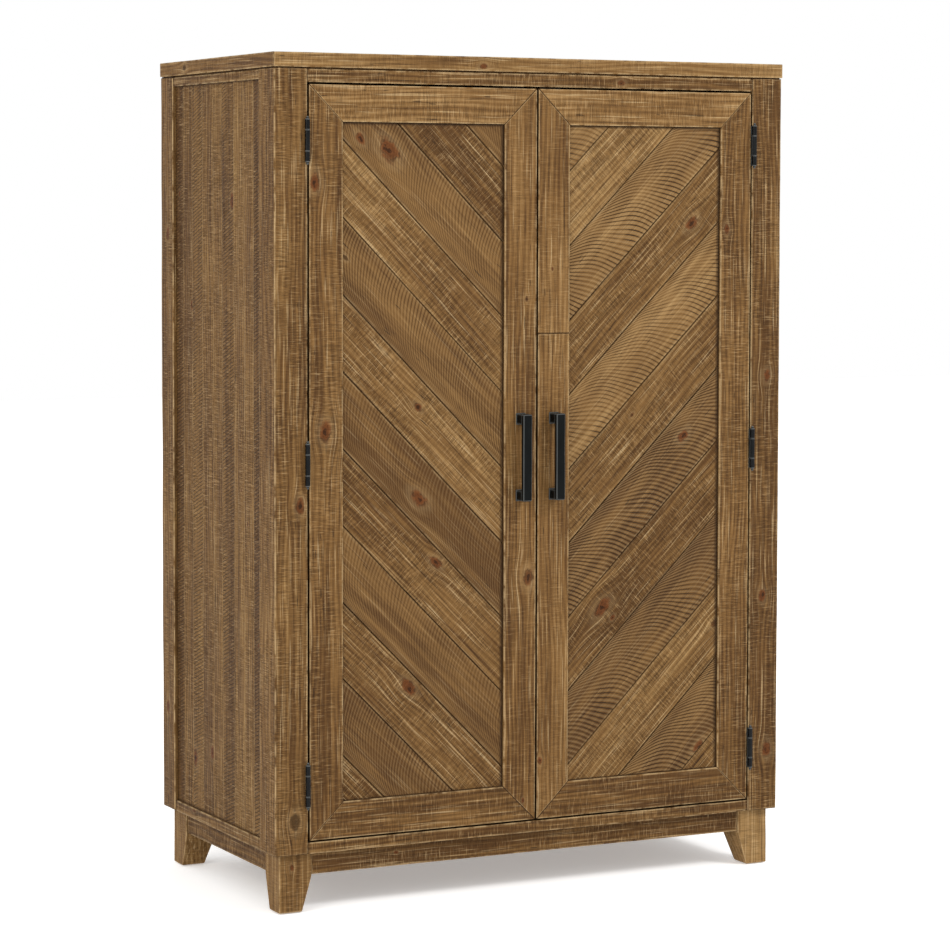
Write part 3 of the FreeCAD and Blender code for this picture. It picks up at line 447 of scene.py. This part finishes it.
def coatedMetal(name, look):
    material, tree, shader = newMaterial(name)
    place = addNode(tree, "ShaderNodeTexCoord").outputs["Object"]
    grit = noise(tree, place, (look["grit"],) * 3, 3, 0.6)
    cloud = noise(tree, place, (35, 35, 22), 3, 0.6)
    mixed = calc(tree, "ADD", calc(tree, "MULTIPLY", grit, 0.5), calc(tree, "MULTIPLY", cloud, 0.5))
    base = blend(tree, step(tree, mixed, 0.35, 0.65), look["low"], look["high"])
    # painted highlight: the wear attribute mixes arrises and rims towards this grey
    paleArris = calc(tree, "MULTIPLY", attribute(tree, "wear")["Fac"], 0.55, clamp=True)
    link(tree, shader.inputs["Base Color"], blend(tree, paleArris, base, colour(128, 131, 130)))
    roughness = step(tree, mixed, 0.3, 0.7, look["rough"] - 0.07, look["rough"] + 0.1)
    link(tree, shader.inputs["Roughness"], roughness)
    bump = addNode(tree, "ShaderNodeBump", {"Strength": 0.25, "Distance": 0.0003, "Height": grit})
    link(tree, shader.inputs["Normal"], bump.outputs[0])
    shader.inputs["Metallic"].default_value = look["metal"]
    shader.inputs["Specular IOR Level"].default_value = look["gleam"]
    return material


coated = {name: coatedMetal(name + "_coated", look) for name, look in metalLooks.items()}
for node in nodes.values():
    finish = node.data.materials[0].name if node.data.materials else ""
    if finish in coated:
        node.data.materials[0] = coated[finish]
print("materials made")


# The case: posts, rails, side panels, top, shelves and back.
case = {
    "postKnots": {  # along, across, radius
        "front_left_post": [(0.782, 0.053, 8 * mm), (0.179, 0.042, 9 * mm)],
        "front_right_post": [(1.006, 0.039, 7 * mm), (0.557, 0.031, 7 * mm), (0.239, 0.043, 9 * mm)],
        "back_left_post": [(1.292, 0.0275, 8 * mm), (0.328, 0.0345, 8 * mm)],
        "back_right_post": [],
    },
    "tone": {"front_right_post": -0.25, "front_left_post": -0.08,
             "front_top_rail": -0.22, "left_top_rail": -0.14, "right_top_rail": -0.14},
    "revealHeight": {"rail": 3 * mm, "post": 1.6 * mm},
    "revealDepth": {"rail": 4 * mm, "post": 2.5 * mm},
    "topBorder": 68 * mm,
    "topBoards": 5,
    "staveWidth": 50 * mm,
    "sideKnots": [(1.151, 0.158, 7 * mm), (1.357, -0.052, 9 * mm),
                  (0.238, 0.148, 10 * mm), (0.262, 0.058, 7 * mm)],
    "shelfBoard": 92 * mm,
    "cleat": 20 * mm,
    "panelShade": -0.07,
    "backSheet": 250 * mm,
    "frontKnot": (-0.120, 0.009, 5 * mm),
    "sideKnot": (0.174, 0.014, 5 * mm),
}


# A board whose top few millimetres step back, which leaves the dark shadow line under the slab; the
# stepped-back strip is also toned dark as painted shade.
def revealed(low, high, along, kind, front=False, side=0, **settings):
    depth = case["revealDepth"][kind]
    top, neck, crown = high.copy(), low.copy(), high.copy()
    top[2] -= case["revealHeight"][kind]
    neck[2] = top[2] - 2 * mm
    neck[1] += depth if front else 0
    neck[0] += depth if side < 0 else 0
    crown[0] -= depth if side > 0 else 0
    collar = boardShell(neck, crown, along, radius=0.3 * mm, wear=0.0, tone=-0.4, cell=60 * mm)
    return [boardShell(low, top, along, **settings), collar]


frontPostLow, frontPostHigh = corners("front_left_post")
backPostLow, _ = corners("back_left_post")


# What a rail or panel leaves in sight between its posts.
def between(low, high, axis):
    hemLow, hemHigh = np.full(3, -9.0), np.full(3, 9.0)
    gap = (frontPostHigh[0], -frontPostHigh[0]) if axis == 0 else (frontPostHigh[1], backPostLow[1])
    hemLow[axis], hemHigh[axis] = gap
    return hemLow, hemHigh


for name, knots in case["postKnots"].items():
    low, high = corners(name)
    left, back = "left" in name, "back" in name
    seen = dict(face=0, near=left) if back else dict(face=1, near=True)
    # the back posts' stronger arris wear also stands in for a painted highlight along their arrises
    shells = revealed(low, high, 2, "post", front=not back, side=-1 if left else 1, knots=knots,
                      radius=(2.4 if back else 1.8) * mm, wear=1.3 if back else 1.0,
                      tone=case["tone"].get(name, 0.0), **seen)
    makePiece(name + "_sawn", shells, "case", casePine, [name])

for name in ("front_top_rail", "left_top_rail", "right_top_rail"):
    low, high = corners(name)
    along, front = (0, True) if "front" in name else (1, False)
    side = 0 if front else (-1 if "left" in name else 1)
    knots = [(0.187, 0.011, 5 * mm)] if front else ()
    shells = revealed(low, high, along, "rail", front=front, side=side, face=1 if front else 0,
                      near=side <= 0, knots=knots, hem=between(low, high, along), tone=case["tone"][name])
    makePiece(name + "_sawn", shells, "case", casePine, [name])

for name in ("back_top_rail", "front_bottom_rail", "back_bottom_rail", "left_bottom_rail",
             "right_bottom_rail"):
    low, high = corners(name)
    along = 0 if "front" in name or "back" in name else 1
    shells = [boardShell(low, high, along, face=1 if along == 0 else 0, near="right" not in name,
                         hem=between(low, high, along))]
    makePiece(name + "_sawn", shells, "case", casePine, [name])


# Splits low..high along one axis into boards of about the given width, edge to edge.
def staves(low, high, axis, width, along, face, near=True, uneven=0.15, spots=(), shade=0.0, **settings):
    low, high = np.array(low, float), np.array(high, float)
    count = max(1, int(round((high[axis] - low[axis]) / width)))
    cuts = np.linspace(low[axis], high[axis], count + 1)
    cuts[1:-1] += draw.uniform(-uneven, uneven, count - 1) * width
    shells = []
    for start, end in zip(cuts[:-1], cuts[1:]):
        a, b = low.copy(), high.copy()
        a[axis], b[axis] = start, end
        own = [(s[0], s[1] - start, s[2]) for s in spots if start < s[1] < end]
        settings["marks"] = float(draw.uniform() < 0.5)
        tone = shade + draw.uniform(-0.08, 0.1)
        shells.append(boardShell(a, b, along, face=face, near=near, knots=own, tone=tone, **settings))
    return shells


for name in ("left_side_panel", "right_side_panel"):
    low, high = corners(name)
    left = "left" in name
    spots = case["sideKnots"] if left else [(z, 0.04 - y, r) for z, y, r in case["sideKnots"]]
    hem = between(low, high, 1)
    hem[0][2], hem[1][2] = corners("left_bottom_rail")[1][2], corners("left_top_rail")[0][2]
    shells = staves(low, high, 1, case["staveWidth"], 2, 0, near=left, spots=spots, radius=0.9 * mm,
                    cell=30 * mm, hem=hem, shade=case["panelShade"])
    makePiece(name + "_staves", shells, "case", sidePine, [name])


# Mitre: near each end a border board gives up as much length as its distance v from the outer edge, and
# the loss fades to nothing at a fixed reach from the end.
def mitred(low, high, along, across, outerLow, reach=220 * mm):
    low, high, gap = low.copy(), high.copy(), 0.12 * mm

    def warp(points):
        away = gap + (points[:, across] - low[across] if outerLow else high[across] - points[:, across])
        first = np.clip(1 - (points[:, along] - low[along]) / reach, 0, 1)
        last = np.clip(1 - (high[along] - points[:, along]) / reach, 0, 1)
        moved = points.copy()
        moved[:, along] += away * (first - last)
        return moved
    return warp


low, high = corners("top_slab")
border = case["topBorder"]
shells = []
for along, across in ((0, 1), (1, 0)):
    for outerLow in (True, False):
        a, b = low.copy(), high.copy()
        if outerLow:
            b[across] = a[across] + border
        else:
            a[across] = b[across] - border
        front = along == 0 and outerLow
        leftEnd = along == 1 and outerLow
        knots = [case["frontKnot"]] if front else ([case["sideKnot"]] if leftEnd else ())
        shells.append(boardShell(a, b, along, radius=1.5 * mm, face=across, near=outerLow, knots=knots,
                                 darkEnds=False, tone=0.13 if along == 0 else -0.05, ticks=0.55,
                                 warp=mitred(a, b, along, across, outerLow)))
field = (low + [border, border, 0.0], high - [border, border, 0.4 * mm])
boardWidth = (field[1][1] - field[0][1]) / case["topBoards"]
shells += staves(*field, 1, boardWidth, 0, 2, near=False, radius=0.9 * mm)
makePiece("top_slab_boards", shells, "case", casePine, ["top_slab"])

low, high = corners("shelf_cleats")
inner = [high[0] - case["cleat"], low[1], low[2]]
cleats = [boardShell(low, [low[0] + case["cleat"], high[1], high[2]], 1, radius=1 * mm, ticks=0.5),
          boardShell(inner, high, 1, radius=1 * mm, ticks=0.5)]
makePiece("shelf_cleats_sawn", cleats, "case", insidePine, ["shelf_cleats"])

for name in ("hat_shelf", "shoe_shelf"):
    low, high = corners(name)
    shells = staves(low, high, 1, case["shelfBoard"], 0, 2, near=False, radius=0.7 * mm, cell=40 * mm,
                    ticks=0.5)
    makePiece(name + "_boards", shells, "case", insidePine, [name])
low, high = corners("floor_panel")
shells = staves(low, high, 1, case["shelfBoard"], 0, 2, near=False, radius=0.6 * mm, cell=40 * mm, ticks=0.5)
makePiece("floor_panel_boards", shells, "case", insidePine, ["floor_panel"])
low, high = corners("back_panel")
shells = staves(low, high, 0, case["backSheet"], 2, 1, near=False, uneven=0.0, radius=0.5 * mm,
                cell=60 * mm, ticks=0.3)
makePiece("back_panel_sheet", shells, "case", backPly, ["back_panel"])
print("case boards made")


# The base: four tapered feet and the aprons between them.
base = {
    "topSize": 68.5 * mm,
    "bottomSize": 48 * mm,
    "taperTop": 72 * mm,
    "easing": 45 * mm,       # radius of the turn into the taper
    "arris": 2.2 * mm,
}


# Foot width at height z: full above the taper, then a straight slope to the floor, with a parabola between
# them that meets both without a kink.
def footWidth(z, floor):
    slope = (base["topSize"] - base["bottomSize"]) / (base["taperTop"] - floor)
    run = base["easing"] * math.tan(math.atan(slope) / 2)
    below = np.clip(base["taperTop"] + run - z, 0, 2 * run)
    eased = below ** 2 * slope / (4 * run)
    return base["topSize"] - eased - slope * np.clip(base["taperTop"] - run - z, 0, None)


for name in ("front_left_foot", "front_right_foot", "back_left_foot", "back_right_foot"):
    low, high = corners(name)
    left, front = "left" in name, "front" in name

    def taper(points, low=low, high=high, left=left, front=front):
        share = footWidth(points[:, 2], low[2]) / base["topSize"]
        moved = points.copy()
        anchorX, anchorY = (low[0] if left else high[0]), (low[1] if front else high[1])
        moved[:, 0] = anchorX + (points[:, 0] - anchorX) * share
        moved[:, 1] = anchorY + (points[:, 1] - anchorY) * share
        return moved
    shell = boardShell(low, high, 2, radius=base["arris"], cell=7 * mm, face=1, near=front, warp=taper,
                       ticks=0.7, tone=0.16, darkEnds=False)
    makePiece(name + "_sawn", [shell], "case", casePine, [name])
for name in ("front_apron", "back_apron", "left_apron", "right_apron"):
    low, high = corners(name)
    along = 0 if name[0] in "fb" else 1
    near = name[0] in "fl"
    shell = boardShell(low, high, along, face=1 - along, near=near, tone=-0.07)
    makePiece(name + "_sawn", [shell], "case", casePine, [name])
print("base made")


# The doors: a mitred frame round a panel of slanted planks.
door = {
    "frameWidth": 70 * mm,
    "plankWidth": 104 * mm,
    "plankTuck": 3 * mm,        # how far planks run under the frame
    "seamGap": 1.0 * mm,
    "seamChamfer": 1.8 * mm,
    "gridAlong": 2.7 * mm,
    "gridAcross": 3.3 * mm,
    "arcRadius": 168 * mm,
    "arcCentre": 58 * mm,       # how far beyond its seam the blade's centre ran
    "arcRelief": 0.14 * mm,
    "tone": {"top_rail": 0.05, "bottom_rail": -0.16, "hinge_stile": -0.04, "meeting_stile": -0.07},
    "hem": (1.6, 0.5, 1.6, 0.7),  # painted shade round the planks, as cast by the frame: left, right, bottom, top; less is wider
    "paintedShadeFade": 0.16,               # painted shade: how much darker the planks are at the bottom than at the top, as under light from above
    "extraTone": {"right_door_hinge_stile": -0.12},
    "plankNumbers": range(-14, 6),  # more than a door holds; those out of sight are skipped
    "shortestPlank": 6 * mm,
    "left": {"side": -1, "seamDrop": 31 * mm, "fromTop": True, "arcAmount": 0.6, "tone": -0.09,
             "arcPitch": 8 * mm,
             "knots": [(-0.318, 1.454, 15), (-0.379, 1.478, 7), (-0.254, 0.785, 11), (-0.218, 0.661, 8),
                       (-0.277, 0.422, 10), (-0.257, 0.963, 6)],
             "frameKnots": {"hinge_stile": [(0.921, 0.0335, 11), (1.395, 0.0115, 9)],
                            "meeting_stile": [(0.622, 0.053, 10), (1.169, 0.048, 3), (0.180, 0.043, 3)]},
             "joints": {}},
    "right": {"side": 1, "seamDrop": 40 * mm, "fromTop": False, "arcAmount": 1.0, "tone": 0.0,
              "arcPitch": 10.5 * mm,
              "knots": [(0.352, 1.317, 9), (0.151, 0.551, 12), (0.174, 0.531, 4), (0.335, 0.889, 8),
                        (0.411, 0.505, 6), (0.378, 0.256, 9)],
              "frameKnots": {"hinge_stile": [(1.305, 0.0145, 6)], "meeting_stile": [(0.256, 0.007, 5)]},
              "joints": {"meeting_stile": [1.1]}},  # this stile is pieced from two lengths
}


# One plank of the slanted panel. r runs down along the plank and q across it, x = -side(q+r)/root2 and
# z = (q-r)/root2; r spans what the door's opening leaves at each q. The section goes round as a loop: front
# face with saw relief, chamfer, back, chamfer. Arcs are r + sqrt(R R - (a+c)(a+c)), a being the way from one
# seam and c how far the blade's centre ran beyond it; cut depth is a cosine of that phase,
# flattened out where the arcs run steeply.
def plankShell(sideSign, rect, depths, qLow, qHigh, look, arcs, knots):
    (p0, p1, z0, z1), (face, back) = rect, depths
    gap, chamfer = door["seamGap"] / 2 * draw.uniform(0.4, 1.1), door["seamChamfer"] * draw.uniform(0.6, 1.1)
    first = max(qLow + gap, (p0 + z0) / root2 + 2 * mm)
    last = min(qHigh - gap, (p1 + z1) / root2 - 2 * mm)
    turns = [t for t in ((p0 + z1) / root2, (p1 + z0) / root2) if first < t < last]
    inner = np.linspace(first + chamfer, last - chamfer, max(3, int((last - first) / door["gridAcross"])))
    q = np.unique(np.concatenate([[first, last, first + chamfer * 0.5, last - chamfer * 0.5], inner, turns]))
    lift = np.clip(1 - np.minimum(q - first, last - q) / chamfer, 0, 1) * chamfer
    homeward = np.array([last, *sorted(turns)[::-1], first])
    loopQ = np.concatenate([q, homeward])
    loopY = np.concatenate([face + lift, 0 * homeward + back])
    rLow = np.maximum(root2 * p0 - loopQ, loopQ - root2 * z1)
    rHigh = np.minimum(root2 * p1 - loopQ, loopQ - root2 * z0)
    rows = max(4, int((rHigh - rLow).max() / door["gridAlong"]))
    t = np.linspace(0, 1, rows)[:, None]
    r = rLow + t * (rHigh - rLow)
    a = np.broadcast_to((qHigh - loopQ) if look["fromTop"] else (loopQ - qLow), r.shape)
    wobble = 0.5 * np.sin(r * 19 + qLow * 31) + 0.25 * np.sin(r * 47 + a * 30 + qLow * 11)
    blade = np.sqrt(np.maximum(door["arcRadius"] ** 2 - (a + door["arcCentre"]) ** 2, 0))
    phase = (r + blade) / look["arcPitch"] + wobble
    steep = (a + door["arcCentre"]) / np.maximum(blade, 1 * mm)
    cut = door["arcRelief"] * arcs * (1 + np.cos(2 * math.pi * phase)) * np.clip(1.4 - steep, 0, 1)
    front = np.zeros(len(loopQ))
    front[1:len(q) - 1] = 1
    y = loopY + cut * front
    x, z = -sideSign * (loopQ + r) / root2, (loopQ - r) / root2
    points = np.stack([x, y, z], -1)
    y += front * 0.15 * mm * (1 + ripple(points, 0.12, int(draw.integers(1e6))))
    points[..., 1] = y
    index = np.arange(r.size).reshape(r.shape)
    around = np.roll(index, -1, axis=1)
    quads = np.stack([index[:-1], around[:-1], around[1:], index[1:]], -1).reshape(-1, 4)
    faces = quads.tolist() + [index[0][::-1].tolist(), index[-1].tolist()]
    across = -sideSign * x  # distance to the opening's sides decides the painted shade round the rim
    leftSide, rightSide = (across - p0, p1 - across) if sideSign < 0 else (p1 - across, across - p0)
    sides = (leftSide, rightSide, z - z0, z1 - z)
    ways = [(way - door["plankTuck"]) * share for way, share in zip(sides, door["hem"])]
    hem = np.minimum.reduce(ways)
    seam = np.minimum(loopQ - first, last - loopQ)
    # painted shade near the frame; a pale band along each seam's chamfer arris, wear and painted highlight
    # together
    wear = np.where(hem < 4 * mm, -np.clip(1.3 - hem / (4 * mm), 0, 1.2),
                    0.8 * np.clip(1 - np.abs(seam - 2.2 * mm) / (1.6 * mm), 0, 1))
    # painted shade in the bottom of each seam groove
    wear = np.where(seam < 1.0 * mm, -0.7, wear)
    grain = np.stack([r, a, y - face], -1).reshape(-1, 3)
    own = []
    for kx, kz, size in knots:
        kq, kr = (kz - sideSign * kx) / root2, (-sideSign * kx - kz) / root2
        if qLow < kq < qHigh:
            own.append((kr, (qHigh - kq) if look["fromTop"] else (kq - qLow), size * mm))
    shell = {"points": points.reshape(-1, 3), "faces": faces, "wear": wear.ravel(), "arc": phase.ravel()}
    # painted shade, darker towards the bottom of the door
    paintedShadeFade = door["paintedShadeFade"] * (z.mean() / (z1 - z0) - 0.6)
    tone = draw.uniform(-0.06, 0.06) + paintedShadeFade + look["tone"] + (0.07 if arcs else 0.0)
    shell.update(grainOf(grain, r.min(), r.max(), qHigh - qLow, own, tone, 0.1 if arcs else 1.0, arcs))
    return shell


for which in ("left", "right"):
    look, body = door[which], which + "_door"
    sideSign = look["side"]
    members = {"hinge_stile": 2, "meeting_stile": 2, "top_rail": 0, "bottom_rail": 0}
    for part, along in members.items():
        name = f"{which}_door_{part}"
        low, high = corners(name)
        across = 2 - along
        outerSides = {"hinge_stile": sideSign < 0, "meeting_stile": sideSign > 0, "top_rail": False,
                      "bottom_rail": True}
        outerLow = outerSides[part]
        knots = [(z, x, size * mm) for z, x, size in look["frameKnots"].get(part, ())]
        cuts = [low[along], *look["joints"].get(part, ()), high[along]]
        shells = []
        for start, end in zip(cuts, cuts[1:]):
            a, b = low.copy(), high.copy()
            a[along], b[along] = start, end
            own = [k for k in knots if start < k[0] < end]
            shells.append(boardShell(a, b, along, radius=1.2 * mm, face=1, knots=own,
                                     tone=door["tone"][part] + door["extraTone"].get(name, 0.0),
                                     ticks=0.5 if part == "meeting_stile" else 0.9,
                                     warp=mitred(low, high, along, across, outerLow)))
            outerEdge = a[across] if outerLow else b[across]  # painted shade on the edges that face a gap
            shells[-1]["wear"][np.abs(shells[-1]["points"][:, across] - outerEdge) < 0.45 * mm] = -1
        makePiece(name + "_sawn", shells, body, doorPine, [name])
    low, high = corners(f"{which}_door_bottom_rail")
    outerLow, outerHigh = corners(f"{which}_door_top_rail")
    inset = door["frameWidth"] - door["plankTuck"]
    edges = sorted([-sideSign * low[0], -sideSign * high[0]])
    rect = (edges[0] + inset, edges[1] - inset, low[2] + inset, outerHigh[2] - inset)
    plankLow, plankHigh = corners(f"{which}_door_planks")
    opening = outerHigh[2] - door["frameWidth"]
    seam = (opening - look["seamDrop"] + edges[0] + door["frameWidth"]) / root2
    shells = []
    lowest, highest = (rect[0] + rect[2]) / root2, (rect[1] + rect[3]) / root2
    for number in door["plankNumbers"]:
        qLow = seam + number * door["plankWidth"]
        qHigh = qLow + door["plankWidth"]
        if qHigh < lowest + door["shortestPlank"] or qLow > highest - door["shortestPlank"]:
            continue
        arcs = look["arcAmount"] * draw.uniform(0.8, 1.1) if number % 2 == 0 else 0.0
        depths = (plankLow[1], plankHigh[1])
        shells.append(plankShell(sideSign, rect, depths, qLow, qHigh, look, arcs, look["knots"]))
    makePiece(f"{which}_door_planks_sawn", shells, body, plankPine, [f"{which}_door_planks"])
print("doors made")


# The handles and the hinges.
handle = {"chamfer": 2.6 * mm, "glint": 0.7, "postWidth": 18 * mm, "postHeight": 20 * mm, "postBevel": 0.8 * mm,
          "padDepth": 3 * mm, "padLip": 1.5 * mm, "padBevel": 1 * mm}
hinge = {"axisOut": 5 * mm, "barrel": 4.7 * mm, "endKnuckle": 20 * mm, "length": 80 * mm, "gap": 0.4 * mm,
         "count": 3, "leaf": 2 * mm, "doorLeaf": 2.2 * mm, "leafReach": 20 * mm, "collar": 3.9 * mm,
         "ball": 2.6 * mm, "sides": 28}


# A handle part is a chamfered block; the grey along its arrises is a painted highlight.
def metalBlock(low, high, radius, glint=0.0, along=2, norm=1, cell=12 * mm):
    return boardShell(low, high, along, radius=radius, norm=norm, wear=glint, lift=0.0, cell=cell,
                      darkEnds=False)


# A turned part: (radius, height) pairs spun round the upright line through x, y; the two ends are flat caps.
def turned(x, y, profile, glint):
    profile, sides = np.array(profile), hinge["sides"]
    turn = np.linspace(0, 2 * math.pi, sides, endpoint=False)
    radius, height = profile[:, :1], profile[:, 1:]
    points = np.stack([x + radius * np.cos(turn), y + radius * np.sin(turn), height + 0 * turn], -1)
    index = np.arange(points.shape[0] * sides).reshape(-1, sides)
    around = np.roll(index, -1, axis=1)
    quads = np.stack([index[:-1], around[:-1], around[1:], index[1:]], -1).reshape(-1, 4)
    faces = quads.tolist() + [index[0][::-1].tolist(), index[-1].tolist()]
    shell = {"points": points.reshape(-1, 3), "faces": faces, "wear": np.repeat(glint, sides)}
    shell.update(grainOf(points.reshape(-1, 3), 0, 0.01, 0.01, (), 0.0, 0.0))
    return shell


# A knuckle: a short barrel with rounded rims, with a painted highlight where it turns.
def knuckle(x, y, low, high):
    r, rim = hinge["barrel"], 0.7 * mm
    steps = [(r - rim, low), (r - 0.3 * rim, low + 0.3 * rim), (r, low + rim), (r, low + 2 * rim)]
    steps += [(r, high - 2 * rim), (r, high - rim), (r - 0.3 * rim, high - 0.3 * rim), (r - rim, high)]
    return turned(x, y, steps, [0.0, 0.8, 0.5, 0.0, 0.0, 0.5, 0.8, 0.0])


# A finial: collar, short neck and ball, up or down from where the barrel ends.
def finial(x, y, end, way):
    ball, angle = hinge["ball"], np.linspace(-1.1, 1.45, 8)
    steps = [(2.0 * mm, -2 * mm), (hinge["collar"], 0.0), (hinge["collar"], 1.0 * mm), (2.2 * mm, 1.3 * mm)]
    steps += [(ball * math.cos(t), 1.3 * mm + ball * (0.75 + math.sin(t))) for t in angle]
    # the wear values paint a highlight on collar and ball
    return turned(x, y, [(r, end + way * h) for r, h in steps], [0.0, 0.5, 0.8] + [0.2] * 5 + [0.6] * 4)


for which in ("left", "right"):
    low, high = corners(which + "_handle_bar")
    bar = metalBlock(low, high, handle["chamfer"], handle["glint"])
    makePiece(which + "_handle_bar_bevelled", [bar], which + "_door", coated["black_metal"],
              [which + "_handle_bar"], smooth=20)
    middle = (low + high) / 2
    low, high = corners(which + "_handle_posts")
    shells = []
    halfPost = handle["postHeight"] / 2
    for z in (low[2] + handle["padLip"] + halfPost, high[2] - handle["padLip"] - halfPost):
        half = np.array([handle["postWidth"] / 2, 0, handle["postHeight"] / 2])
        lip = np.array([handle["padLip"], 0, handle["padLip"]])
        centre = np.array([middle[0], 0, z])
        stemLow, stemHigh = centre - half, centre + half
        padLow, padHigh = stemLow - lip, stemHigh + lip
        stemLow[1], stemHigh[1] = low[1] - 1 * mm, high[1]  # the stem runs a little into the bar
        padLow[1], padHigh[1] = high[1] - handle["padDepth"], high[1]
        # the stems' and pads' wear values are a painted highlight on their arrises
        shells += [metalBlock(stemLow, stemHigh, handle["postBevel"], 0.5, cell=6 * mm)]
        shells += [metalBlock(padLow, padHigh, handle["padBevel"], 0.6, cell=6 * mm)]
    makePiece(which + "_handle_posts_bevelled", shells, which + "_door", coated["black_metal"],
              [which + "_handle_posts"], smooth=20)

postFace = frontPostLow[1]
doorEdge = corners("left_door_hinge_stile")[0][0]
axisX, axisY = corners("case_hinge_leaves")[0][0] + hinge["barrel"], postFace - hinge["axisOut"]
leafLow, leafHigh = corners("case_hinge_leaves")
heights = np.linspace(leafLow[2] + hinge["length"] / 2, leafHigh[2] - hinge["length"] / 2, hinge["count"])
casePlates, pins, doorPlates = [], [], {"left": [], "right": []}
for side, which in ((-1, "left"), (1, "right")):
    # the plates' wear value is a painted highlight on their arrises
    def plate(x0, x1, y0, y1, z0, z1, side=side):
        xs = sorted([-side * x0, -side * x1])
        return metalBlock([xs[0], y0, z0], [xs[1], y1, z1], 0.35 * mm, 0.3, norm=2, cell=9 * mm)
    x = -side * axisX
    for z in heights:
        bottom, top = z - hinge["length"] / 2, z + hinge["length"] / 2
        lowEnd, highStart = bottom + hinge["endKnuckle"], top - hinge["endKnuckle"]
        gap, far = hinge["gap"] / 2, postFace + hinge["leafReach"]
        casePlates.append(plate(axisX, frontPostHigh[0], postFace, far, bottom, top))
        for z0, z1 in ((bottom, lowEnd - gap), (highStart + gap, top)):
            casePlates += [knuckle(x, axisY, z0, z1),
                           plate(axisX, axisX + hinge["leaf"], axisY, postFace + 1 * mm, z0, z1)]
        clear, leafStart = axisY + hinge["barrel"] - 0.6 * mm, doorEdge - hinge["doorLeaf"]
        doorPlates[which] += [knuckle(x, axisY, lowEnd + gap, highStart - gap),
                              plate(leafStart, doorEdge, axisY, far, lowEnd + gap, highStart - gap),
                              plate(leafStart, doorEdge, clear, far, bottom, top)]
        pins += [finial(x, axisY, top, 1), finial(x, axisY, bottom, -1)]
    makePiece(which + "_door_hinge_leaves_turned", doorPlates[which], which + "_door", coated["hinge_metal"],
              [which + "_door_hinge_leaves"], smooth=30)
makePiece("case_hinge_leaves_turned", casePlates, "case", coated["hinge_metal"],
          ["case_hinge_leaves"], smooth=30)
makePiece("hinge_pins_turned", pins, "case", coated["hinge_metal"], ["hinge_pins"], smooth=40)
print("handles and hinges made")


# Floor, light and camera.
studio = {
    "floorSize": 30.0,
    "floorColour": colour(251, 251, 251),
    "floorLift": 0.3,
    "worldColour": (1.0, 1.0, 1.0, 1.0),
    "worldStrength": 1.0,
    "key": {"place": (2.3, -3.6, 4.0), "size": 1.5, "power": 125.0, "colour": (1.0, 1.0, 1.0)},
    "fill": {"place": (-5.0, -2.6, 3.0), "size": 3.0, "power": 116.0, "colour": (1.0, 0.95, 0.87)},
    "aim": (0, 0, 0.8),      # what both lamps point at
    "cameraPlace": (-2.8952, -5.7256, 1.3498),
    "pan": 26.848,
    "tilt": -3.331,
    "roll": 0.119,
    "lens": 119.45,
    "lensDrop": -0.09,
    "sensor": 36.0,
}

half = studio["floorSize"] / 2
floorMesh = bpy.data.meshes.new("studio_floor")
floorCorners = [(-half, -half, 0), (half, -half, 0), (half, half, 0), (-half, half, 0)]
floorMesh.from_pydata(floorCorners, [], [(0, 1, 2, 3)])
floorPiece = bpy.data.objects.new("studio_floor", floorMesh)
bpy.context.scene.collection.objects.link(floorPiece)
floorMaterial, _, floorShader = newMaterial("pale_floor")
floorShader.inputs["Base Color"].default_value = studio["floorColour"]
floorShader.inputs["Roughness"].default_value = 0.9
floorShader.inputs["Emission Color"].default_value = studio["worldColour"]
floorShader.inputs["Emission Strength"].default_value = studio["floorLift"]
floorShader.inputs["Specular IOR Level"].default_value = 0.1
floorMesh.materials.append(floorMaterial)

for name in ("key", "fill"):
    lamp = bpy.data.lights.new(name + "_light", "AREA")
    lamp.size, lamp.energy = studio[name]["size"], studio[name]["power"]
    lamp.color = studio[name]["colour"]
    holder = bpy.data.objects.new(name + "_light", lamp)
    holder.location = studio[name]["place"]
    holder.rotation_euler = (Vector(studio["aim"]) - holder.location).to_track_quat("-Z", "Y").to_euler()
    bpy.context.scene.collection.objects.link(holder)

world = bpy.data.worlds.new("studio_world")
bpy.context.scene.world = world
world.use_nodes = True
world.node_tree.nodes["Background"].inputs[0].default_value = studio["worldColour"]
world.node_tree.nodes["Background"].inputs[1].default_value = studio["worldStrength"]
bpy.context.scene.view_settings.view_transform = "Standard"

pan, tilt, roll = (math.radians(studio[key]) for key in ("pan", "tilt", "roll"))
ahead = Vector((math.sin(pan), math.cos(pan), 0))
aside = Vector((math.cos(pan), -math.sin(pan), 0))
up = Vector((0, 0, 1))
forward = ahead * math.cos(tilt) + up * math.sin(tilt)
upright = up * math.cos(tilt) - ahead * math.sin(tilt)
right = aside * math.cos(roll) + upright * math.sin(roll)
upright = upright * math.cos(roll) - aside * math.sin(roll)
lens = bpy.data.cameras.new("studio_camera")
lens.lens, lens.sensor_width, lens.shift_y = studio["lens"], studio["sensor"], studio["lensDrop"]
camera = bpy.data.objects.new("studio_camera", lens)
turn = Matrix((right, upright, -forward)).transposed().to_4x4()
camera.matrix_world = Matrix.Translation(studio["cameraPlace"]) @ turn
bpy.context.scene.collection.objects.link(camera)
bpy.context.scene.camera = camera
print("studio made")
